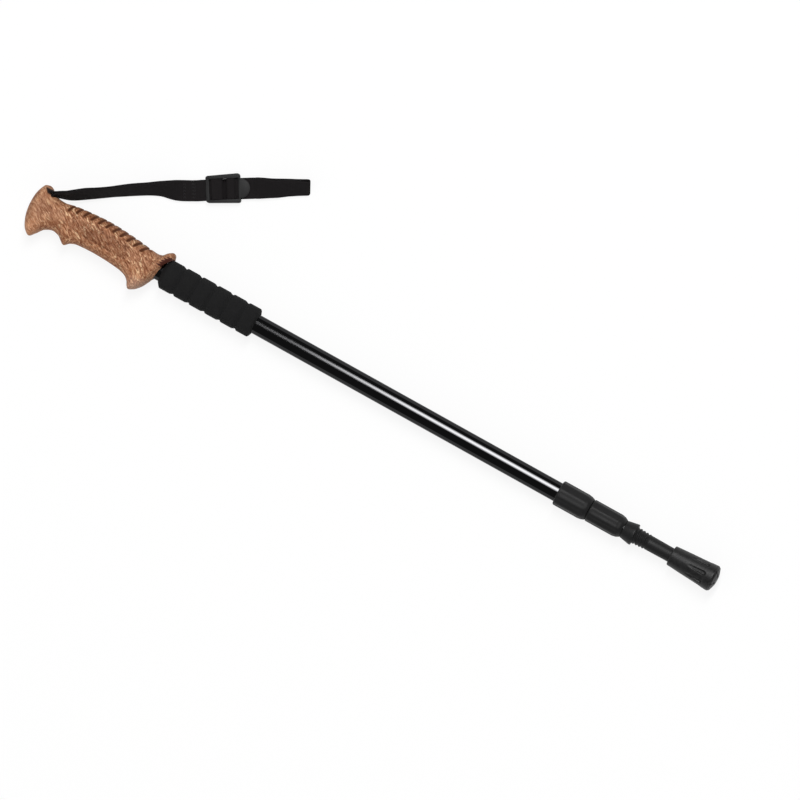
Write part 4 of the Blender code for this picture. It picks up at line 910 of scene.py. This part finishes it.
def webbing(finish):
    """One strip of webbing. It follows the grip in its slot and the strap beyond the slot's mouth."""
    path = stepped(webbing_path(), WEB_STEP)
    loop = section_loop()
    rings, sides = len(path) - 1, len(loop)
    frames = [strap_frame(s) for s, _ in path]
    middles = [place + normal * height for (place, _, normal), (_, height) in zip(frames, path)]
    lengths = lengths_along(middles)
    rims = lengths_along(loop + loop[:1])

    shape = grid(rings, sides)
    weave = shape.loops.layers.uv.new("weave")
    for face in shape.faces:
        for corner in face.loops:
            ring, turn = grid_place(corner.vert, rings, sides)
            corner[weave].uv = (rims[turn], lengths[ring])
    for vert in shape.verts:
        ring, turn = grid_place(vert, rings, sides)
        side, height = loop[turn % sides]
        width = frames[ring][1]
        along = middles[min(ring + 1, rings)] - middles[max(ring - 1, 0)]
        face = along.cross(width).normalized()
        skew = Vector((BIGHT_SKEW * side * ease(path[ring][0], BIGHT_SKEWS_FROM, BIGHT_END), 0, 0))
        vert.co = middles[ring] + width * side + face * height + skew
    close_skin(shape)
    made = piece("wrist_strap_webbing", shape, finish, STRAP_PLACE, sharp=60)
    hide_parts("strap_root", "strap_sewn_run", "strap_adjusting_run")
    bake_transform(made)


def stitches(finish):
    """Rows of thread across the webbing's two layers, where its end is sewn down."""
    shape = bmesh.new()
    columns = int((WEB_WIDTH - 2 * STITCH_MARGIN) / STITCH_SPACING)
    size = Matrix.Diagonal((STITCH_RADIUS, STITCH_LENGTH / 2, STITCH_RADIUS, 1))
    for row in range(STITCH_ROWS):
        s = STITCH_START + row * STITCH_PITCH
        place, width, normal = strap_frame(s)
        height = level(1) + WEB_PITCH * ease(s, SEWN_END - STEP_LENGTH, SEWN_END)
        turn = Matrix((width.cross(normal), width, normal)).transposed().to_4x4()
        lean = Matrix.Rotation(STITCH_LEAN if row % 2 else -STITCH_LEAN, 4, "Z")
        for column in range(columns):
            side = (column - (columns - 1) / 2) * STITCH_SPACING
            middle = place + width * side + normal * (height + HALF_THICK)
            bmesh.ops.create_uvsphere(shape, u_segments=8, v_segments=6, radius=1,
                                      matrix=Matrix.Translation(middle) @ turn @ lean @ size)
    made = piece("sewn_end_stitches", shape, finish, STRAP_PLACE)
    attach(made, "strap")


def buckle(finish):
    """A ladder-lock: an arched frame, four bars and a half-round thumb tab."""
    start, end = strap_frame(BUCKLE_START)[0], strap_frame(TAB_START)[0]
    lean = atan2(end.y - start.y, end.x - start.x)
    inner = WEB_WIDTH / 2 + RAIL_GAP
    start_low, start_high = (inner + rail for rail in RAILS_AT_START)
    end_low, end_high = (inner + rail for rail in RAILS_AT_END)
    length = TAB_START - BUCKLE_START
    bars_top = END_BARS_LOW + BAR_THICKNESS
    low = END_BARS_LOW - RAIL_DROP

    middle = (length, 0)
    corners = (length, end_high), (0, start_high), (0, -start_low), (length, -end_low)
    plan = softened([middle, *corners, middle], BUCKLE_CORNER, 5)[:-1]
    made = piece("buckle_moulding", prism(plan, low, bars_top + BUCKLE_ARCH), finish)

    crown = [(length * i / 12, bars_top + BUCKLE_ARCH * sin(pi * i / 12)) for i in range(13)]
    foot = low + BUCKLE_CHAMFER
    side = [(0, foot), (BUCKLE_CHAMFER, low), (length - BUCKLE_CHAMFER, low), (length, foot),
            *crown[::-1]]
    upright = Matrix.Rotation(radians(90), 4, "X")
    combine(made, prism(side, -2 * end_high, 2 * end_high), "INTERSECT", upright)
    opening = block((-length, -inner, low - length), (2 * length, inner, bars_top + length))
    combine(made, opening, "DIFFERENCE")

    reach = inner + min(RAILS_AT_START) / 2
    for bar_start, bar_length, height in (
        (BUCKLE_START + BAR_SETBACK, BUCKLE_END_BAR, END_BARS_LOW),
        (*SEWN_BAR, BARS_LOW),
        (*TURN_BAR, BARS_LOW),
        (TAB_START - BAR_SETBACK - TAB_BAR, TAB_BAR, END_BARS_LOW),
    ):
        x = bar_start - BUCKLE_START
        bar = block((x, -reach, height), (x + bar_length, reach, height + BAR_THICKNESS))
        combine(made, bar, "UNION")
    root = length - BAR_SETBACK - TAB_BAR / 2
    half = TAB_HALF_WIDTH
    curve = [(length + x * TAB_LENGTH, y * half) for x, y in arc((0, 0), 1, -90, 90, 24)]
    tab = prism([(root, -half), *curve, (root, half)], END_BARS_LOW + TAB_INSET, bars_top - TAB_INSET)
    combine(made, tab, "UNION")
    put_in_order(made.data)
    modified(made, "BEVEL", width=BUCKLE_EDGE, segments=3, limit_method="ANGLE",
             angle_limit=radians(40), harden_normals=False)
    smoothed(made.data, 50)
    made.data.transform(STRAP_PLACE @ Matrix.Translation(start) @ Matrix.Rotation(lean, 4, "Z"))
    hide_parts("buckle")
    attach(made, "strap")


# Grip

def grip_section():
    """The grip's section by the place of its back above its lower end."""
    rows = [tuple(value * MM for value in row) for row in GRIP_LOWER_SECTIONS]
    for back_x, back_y, front_x, front_y, half in GRIP_UPPER_SECTIONS:
        back_x, front_x = GRIP_LENGTH - back_x * MM, GRIP_LENGTH - front_x * MM
        rows.append((back_x, back_y * MM, front_x, front_y * MM, half * MM))
    return smooth_table(rows)


def groove_at(station):
    """How deep the ribs' grooves are at a station of the grip's back, from 0 to 1."""
    number = round((station - GROOVE_START) / GROOVE_PITCH)
    number = min(max(number, 0), GROOVES - 1)
    away = abs(station - GROOVE_START - number * GROOVE_PITCH) / GROOVE_HALF_WIDTH
    return (1 + cos(pi * min(away, 1))) / 2


def grip_point(section, station, angle):
    """A point of the grip's skin. Its sides run ahead of its back where the grooves are, as a chevron."""
    back_y, front_x, front_y, half = section(station)
    grooves_end = GROOVE_START + GROOVES * GROOVE_PITCH
    chevron = GROOVE_SLANT * ease(station, GROOVE_START / 2, GROOVE_START)
    chevron *= 1 - ease(station, grooves_end, grooves_end + SLANT_FADE)
    saddle = RIM_SADDLE * (1 - ease(station, 0, SADDLE_FADE))
    forward, sideways = (copysign(abs(share) ** (2 / GRIP_FULLNESS), share)
                         for share in (cos(angle), sin(angle)))
    groove = groove_at(station) * ease(-cos(angle), 0.5, 0.66)
    inset = 1 - groove * GROOVE_DEPTH / back_y
    x = (station + front_x) / 2 + (front_x - station) / 2 * forward
    x += saddle * sin(angle) ** 2
    x += chevron * abs(sideways) * half * ease(-cos(angle), -0.3, 0.3)
    y = ((front_y - back_y) / 2 + (front_y + back_y) / 2 * forward) * inset
    return Vector((x, y, half * sideways * inset)), groove


def rim_point(section, share, angle):
    """A point of the rim, which turns in round the foam's chamfer: 0 is at the tube, 1 at the outside."""
    front_x, front_y, half = section(0)[1:]
    forward, sideways = cos(angle), sin(angle)
    tilt = front_x / 2 * (1 + forward) + RIM_SADDLE * sideways ** 2
    lip_y = front_y - 0.8 * MM if forward > 0 else FOAM_RADIUS + 0.3 * MM
    outer = Vector((tilt + (1 - forward) * MM, lip_y * forward, (half - 0.6 * MM) * sideways))
    lip = UPPER_BORE + RIM_WALL
    inner = Vector((GRIP_OVER_FOAM + 0.9 * MM + (1 + forward) * 2.2 * MM, lip * forward, lip * sideways))
    if share > RIM_TURNS_OUT:
        return outer.lerp(grip_point(section, 0, angle)[0], (share - RIM_TURNS_OUT) / (1 - RIM_TURNS_OUT))
    return inner.lerp(outer, share / RIM_TURNS_OUT)


def rim_shade(y):
    """How much shade is painted on the flange's rim: only on the back, short of its peak."""
    return ease(-y, *RIM_SHADE[:2]) * (1 - ease(-y, *RIM_SHADE[2:]))


def grip(finish):
    section = grip_section()
    rows = RIM_RINGS + GRIP_RINGS
    grooves_end = GROOVE_START + (GROOVES - 1) * GROOVE_PITCH

    shape = grid(rows, GRIP_SIDES)
    # The "groove" layer holds the grooves' dark colour and painted shade along the ribs' back edge.
    groove = shape.verts.layers.float.new("groove")
    # The "rim" layer holds painted shade on the flange's rim.
    rim = shape.verts.layers.float.new("rim")
    for vert in shape.verts:
        ring, side = grid_place(vert, rows, GRIP_SIDES)
        angle = TURN * side / GRIP_SIDES
        if ring < RIM_RINGS:
            vert.co = rim_point(section, ring / RIM_RINGS, angle)
            vert[rim] = rim_shade(vert.co.y)
            continue
        share = (ring - RIM_RINGS) / GRIP_RINGS
        station = GRIP_LENGTH * (1 - cos(pi * share)) / 2
        vert.co, depth = grip_point(section, station, angle)
        vert[rim] = rim_shade(vert.co.y) * (1 - ease(station, 0.5 * MM, 6 * MM))
        # Painted shade along the ribs' back edge, between the grooves.
        ribs = ease(station, GROOVE_START - RIB_FADE, GROOVE_START)
        ribs *= 1 - ease(station, grooves_end, grooves_end + RIB_FADE)
        vert[groove] = max(depth, RIB_SHADE * ribs * ease(-cos(angle), 0.7, 0.93))
    close_skin(shape)
    made = piece("shaped_grip", shape, finish, Matrix.Translation((X_GRIP, 0, 0)), sharp=50)

    low, high = X_GRIP - GRIP_OVER_FOAM, X_BORE_END
    tube_room = turned([(low, 0), (low, UPPER_BORE), (high, UPPER_BORE), (high, 0)], ROUND_SIDES)
    combine(made, tube_room, "DIFFERENCE")
    chamber = PIN_RADIUS + GAP + WEB_THICKNESS + PIN_ROOM
    open_angle = degrees(asin(SLOT_HALF_HEIGHT / chamber))
    end = SLOT_LENGTH - PIN_TO_FOLD
    outline = arc((-PIN_TO_FOLD, 0), chamber, open_angle, 360 - open_angle, 32)
    outline += [(end, -SLOT_HALF_HEIGHT), (end, SLOT_HALF_HEIGHT)]
    hole = arc((-PIN_TO_FOLD, 0), PIN_RADIUS + GAP, 0, 345, 23)
    for shape, reach in ((outline, SLOT_HALF_WIDTH), (hole, SLOT_HALF_WIDTH + PIN_IN_WALL + GAP)):
        combine(made, prism(shape, -reach, reach), "DIFFERENCE", STRAP_PLACE)
    shade_slot(made.data)
    smoothed(made.data, 50)
    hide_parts("grip")
    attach(made, "upper_section")


def shade_slot(mesh):
    """Paint shade on the slot's walls and on the skin round its mouth."""
    dark = mesh.attributes.new("slot", "FLOAT", "POINT").data
    to_strap = STRAP_PLACE.inverted()
    for vert in mesh.vertices:
        s, across, _ = to_strap @ vert.co
        place, height, slope = SLOT_SHADE_TOP
        above = across - height - slope * (s - place)
        place, height, slope = SLOT_SHADE_LOW
        below = height + slope * (s - place) - across
        place, height, slope = SLOT_SHADE_START
        ahead = place + slope * (across - height) - s
        away = max(above, below, ahead, s - SLOT_SHADE_END)
        dark[vert.index].value = 1 - ease(away, -0.2 * MM, 1 * MM)


# Foam sleeve, tubes and collars

def foam_sleeve(finish):
    length = FOAM_HIGH.x - FOAM_LOW.x
    pitch, half = length / FOAM_RINGS, FOAM_GROOVE_WIDTH / 2
    lip = UPPER_BORE + FOAM_LIP
    profile = [(0, UPPER_BORE), (0, lip), (FOAM_END_CHAMFER * 0.5, FOAM_RADIUS - 1.3 * MM),
               (FOAM_END_CHAMFER, FOAM_RADIUS)]
    for i in range(1, FOAM_RINGS):
        middle = i * pitch - FOAM_GROOVE_SHIFT
        profile += [(middle + half * place, FOAM_RADIUS - FOAM_GROOVE_DEPTH * depth)
                    for place, depth in FOAM_GROOVE_OUTLINE]
    profile += [(length - FOAM_TOP_CHAMFER, FOAM_RADIUS),
                (length - FOAM_TOP_CHAMFER * 0.7, FOAM_RADIUS - 1.1 * MM),
                (length, lip), (length, UPPER_BORE)]
    profile = stepped(softened(profile, 1.2 * MM, 5), 1.2 * MM)
    made = piece("foam_sleeve_rings", turned(profile, ROUND_SIDES), finish,
                 Matrix.Translation((FOAM_LOW.x, 0, 0)), 50)
    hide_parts("foam_sleeve")
    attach(made, "upper_section")


def fine_tube(section, finish):
    """A tube as round as the real one, the size of its CAD node, with its end edges broken."""
    node_name, body = section + "_tube", section + "_section"
    low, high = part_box(node_name)
    radius = high.z
    bore = radius - TUBE_WALL
    edge = 0.12 * MM
    profile = [
        (low.x + edge, bore), (low.x, bore + edge), (low.x, radius - edge), (low.x + edge, radius),
        (high.x - edge, radius), (high.x, radius - edge), (high.x, bore + edge), (high.x - edge, bore),
    ]
    made = piece(node_name + "_skin", turned(profile, ROUND_SIDES), finish, sharp=30)
    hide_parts(node_name)
    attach(made, body)


def collar(section, end_radius, seat_radius, lip_radius, finish):
    """A fluted collar over a tube's lower end. Its lip guides the next tube."""
    node_name, body = section + "_collar", section + "_section"
    low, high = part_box(node_name)
    length, radius = high.x - low.x, high.z
    top = length - COLLAR_CHAMFER
    along, across = COLLAR_KNEE
    profile = [
        (0, lip_radius), (0, end_radius), (COLLAR_TAPER * along, end_radius + (radius - end_radius) * across),
        (COLLAR_TAPER, radius), (top, radius), (length, radius - COLLAR_CHAMFER), (length, seat_radius),
        (COLLAR_LIP, seat_radius), (COLLAR_LIP, lip_radius),
    ]

    def fluted(x, angle, now):
        if now < seat_radius + 0.6 * MM:
            return now
        fade = ease(x, COLLAR_TAPER * 0.3, COLLAR_TAPER) * (1 - ease(x, top - 2 * MM, top))
        return now - fade * FLUTE_DEPTH * (1 - cos(FLUTES * angle)) / 2

    profile = stepped(softened(profile, 0.7 * MM), 1.5 * MM)
    shape = turned(profile, FLUTES * 12, fluted)
    made = piece(node_name + "_moulding", shape, finish, Matrix.Translation((low.x, 0, 0)), 40)
    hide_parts(node_name)
    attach(made, body)


# Tip ferrule and rubber foot

def shank_radius(x):
    """The ferrule's tapered shank, which the rubber foot's bore follows."""
    return SHANK_TOP_RADIUS - (X_THREAD - x) * SHANK_TAPER


def tip_ferrule(finish):
    """The ferrule over and inside the lower tube's end, from the nose up to its spigot."""
    skirt = LOWER_BORE + SKIRT_WALL
    spigot = LOWER_TUBE_RADIUS - TUBE_WALL - GAP
    nose = FERRULE_END + NOSE_LENGTH
    tip_floor = FERRULE_END + HARD_TIP_IN_FERRULE
    step = THREAD_PITCH / 16
    thread = []
    for i in range(int((X_FLANGE - X_THREAD - 2 * FLANGE_FILLET) / step) + 1):
        x = X_THREAD + i * step
        thread.append((x, THREAD_RADIUS - (X_FLANGE - x) * THREAD_TAPER))

    def threaded(x, angle, radius):
        if radius < LOWER_BORE - 1 * MM or not X_THREAD <= x < X_FLANGE - FLANGE_FILLET:
            return radius
        fade = ease(x, X_THREAD, X_THREAD + THREAD_PITCH / 4)
        wave = cos(TURN * (x / THREAD_PITCH) - angle)
        return radius + fade * THREAD_DEPTH * (wave - 0.2)

    lower = softened([
        (FERRULE_END, HARD_TIP_BORE), (FERRULE_END, NOSE_RADIUS), (nose, shank_radius(nose)),
        (X_THREAD - 0.6 * MM, shank_radius(X_THREAD)), thread[0],
    ], 0.5 * MM)
    seat = SKIRT_TOP - SKIRT_DEPTH
    upper = softened([
        thread[-1], (X_FLANGE - FLANGE_FILLET, THREAD_RADIUS), (X_FLANGE, THREAD_RADIUS + FLANGE_FILLET),
        (X_FLANGE, FLANGE_RADIUS), (X_FLANGE + FLANGE_EDGE, FLANGE_RADIUS), (SKIRT_TOP, skirt + 0.1 * MM),
        (SKIRT_TOP, LOWER_BORE), (seat, LOWER_BORE), (seat, spigot), (FERRULE_TOP - 1 * MM, spigot),
        (FERRULE_TOP, spigot - 1 * MM), (FERRULE_TOP, 0),
    ], 0.35 * MM)
    profile = [(tip_floor, 0), (tip_floor, HARD_TIP_BORE), *lower, *thread[1:], *upper[1:]]
    made = piece("basket_thread_ferrule", turned(profile, ROUND_SIDES, threaded), finish, sharp=40)
    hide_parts("tip_ferrule")
    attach(made, "lower_section")


def rubber_foot(finish):
    """The rubber foot, with soft-edged recesses round it and treads across its domed sole."""
    nose = FERRULE_END + NOSE_LENGTH
    outside = stepped(softened([
        (0, 0), (0, SOLE_FLAT_RADIUS), (SOLE_DOME * 0.22, SOLE_FLAT_RADIUS + 2.6 * MM),
        (SOLE_DOME * 0.62, FOOT_SOLE_RADIUS - SOLE_EDGE), (SOLE_DOME + SOLE_EDGE * 0.4, FOOT_SOLE_RADIUS),
        (FOOT_LENGTH, FOOT_MOUTH_RADIUS), (FOOT_LENGTH, shank_radius(FOOT_LENGTH) + GAP),
    ], 1.1 * MM, 6), 0.35 * MM)
    inside = [
        (nose, shank_radius(nose) + GAP), (FERRULE_END, WASHER_RADIUS + 2 * GAP),
        (WASHER_TOP, WASHER_RADIUS + GAP), (FOOT_FLOOR, WASHER_RADIUS + GAP), (FOOT_FLOOR, 0),
    ]
    wide, narrow = RECESS_HALF_WIDTHS

    def beside(angle, radius, count):
        """How far round the foot the nearest of a count of equal places is."""
        spread = TURN / count
        return abs((angle + spread / 2) % spread - spread / 2) * radius

    def moulded(x, angle, radius):
        """Press the recesses into the side, and the treads into the sole's rim."""
        if radius < SOLE_FLAT_RADIUS + 0.4 * MM and x > SOLE_DOME or x > FOOT_LENGTH - 1 * MM:
            return radius
        share = min(max((x - RECESS_START) / RECESS_LENGTH, 0), 1)
        half = wide + (narrow - wide) * share
        past_end = max(RECESS_START + wide - x, x - RECESS_START - RECESS_LENGTH + narrow, 0)
        away = hypot(beside(angle, radius, RECESSES), past_end)
        recess = RECESS_DEPTH * (1 - share) * (1 - ease(away, half - 0.8 * MM, half + 0.4 * MM))
        away = beside(angle, radius, TREADS)
        tread = TREAD_DEPTH * (1 - ease(away, TREAD_HALF_WIDTH - TREAD_EDGE, TREAD_HALF_WIDTH + TREAD_EDGE))
        tread *= ease(radius, SOLE_FLAT_RADIUS + 1 * MM, SOLE_FLAT_RADIUS + 3 * MM)
        tread *= 1 - ease(x, SOLE_DOME * 0.5 + TREAD_DEPTH, SOLE_DOME + TREAD_DEPTH)
        return radius - recess - tread

    made = piece("rubber_foot_moulding", turned(outside + inside, 240, moulded), finish, sharp=50)
    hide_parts("rubber_foot")
    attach(made, "foot")


# The whole stick

def repaint(finish, *names):
    """Give a finish to CAD nodes that still show."""
    for name in names:
        for place in frame["nodes"][name].material_slots:
            place.material = finish


def build():
    bpy.context.scene.view_settings.view_transform = "Standard"
    camera()
    studio_floor()
    studio_world()
    lamps()

    plastic = moulded_finish("black_plastic", (0.012, 0.012, 0.0123), 0.5, 0.24)
    anodised = anodised_finish()
    steel = metal_finish("zinc_steel", (0.55, 0.55, 0.56), 0.36, (2, 0.3, 0.3))
    brass = metal_finish("brass", (0.62, 0.44, 0.18), 0.34, (0.3, 1, 1))
    nylon = nylon_finish()

    webbing(webbing_finish())
    stitches(thread_finish())
    buckle(moulded_finish("buckle_plastic", (0.017, 0.017, 0.0174), 0.5, 0.17))
    grip(cork_finish())
    foam_sleeve(foam_finish())
    for section in ("upper", "middle", "lower"):
        fine_tube(section, anodised)
    collar("upper", UPPER_COLLAR_END, UPPER_BORE, MIDDLE_BORE, plastic)
    collar("middle", MIDDLE_COLLAR_END, MIDDLE_BORE, LOWER_BORE, plastic)
    tip_ferrule(plastic)
    rubber_foot(rubber_finish())
    repaint(steel, "strap_pin", "foot_washer")
    repaint(plastic, "top_plug")
    repaint(metal_finish("carbide", (0.3, 0.3, 0.31), 0.32, 0.2), "hard_tip")
    for section in ("middle", "lower"):
        repaint(plastic, section + "_end_plug")
        repaint(steel, section + "_stud", section + "_stop_nut")
        repaint(nylon, section + "_expander")
        repaint(brass, section + "_cone_nut")


build()
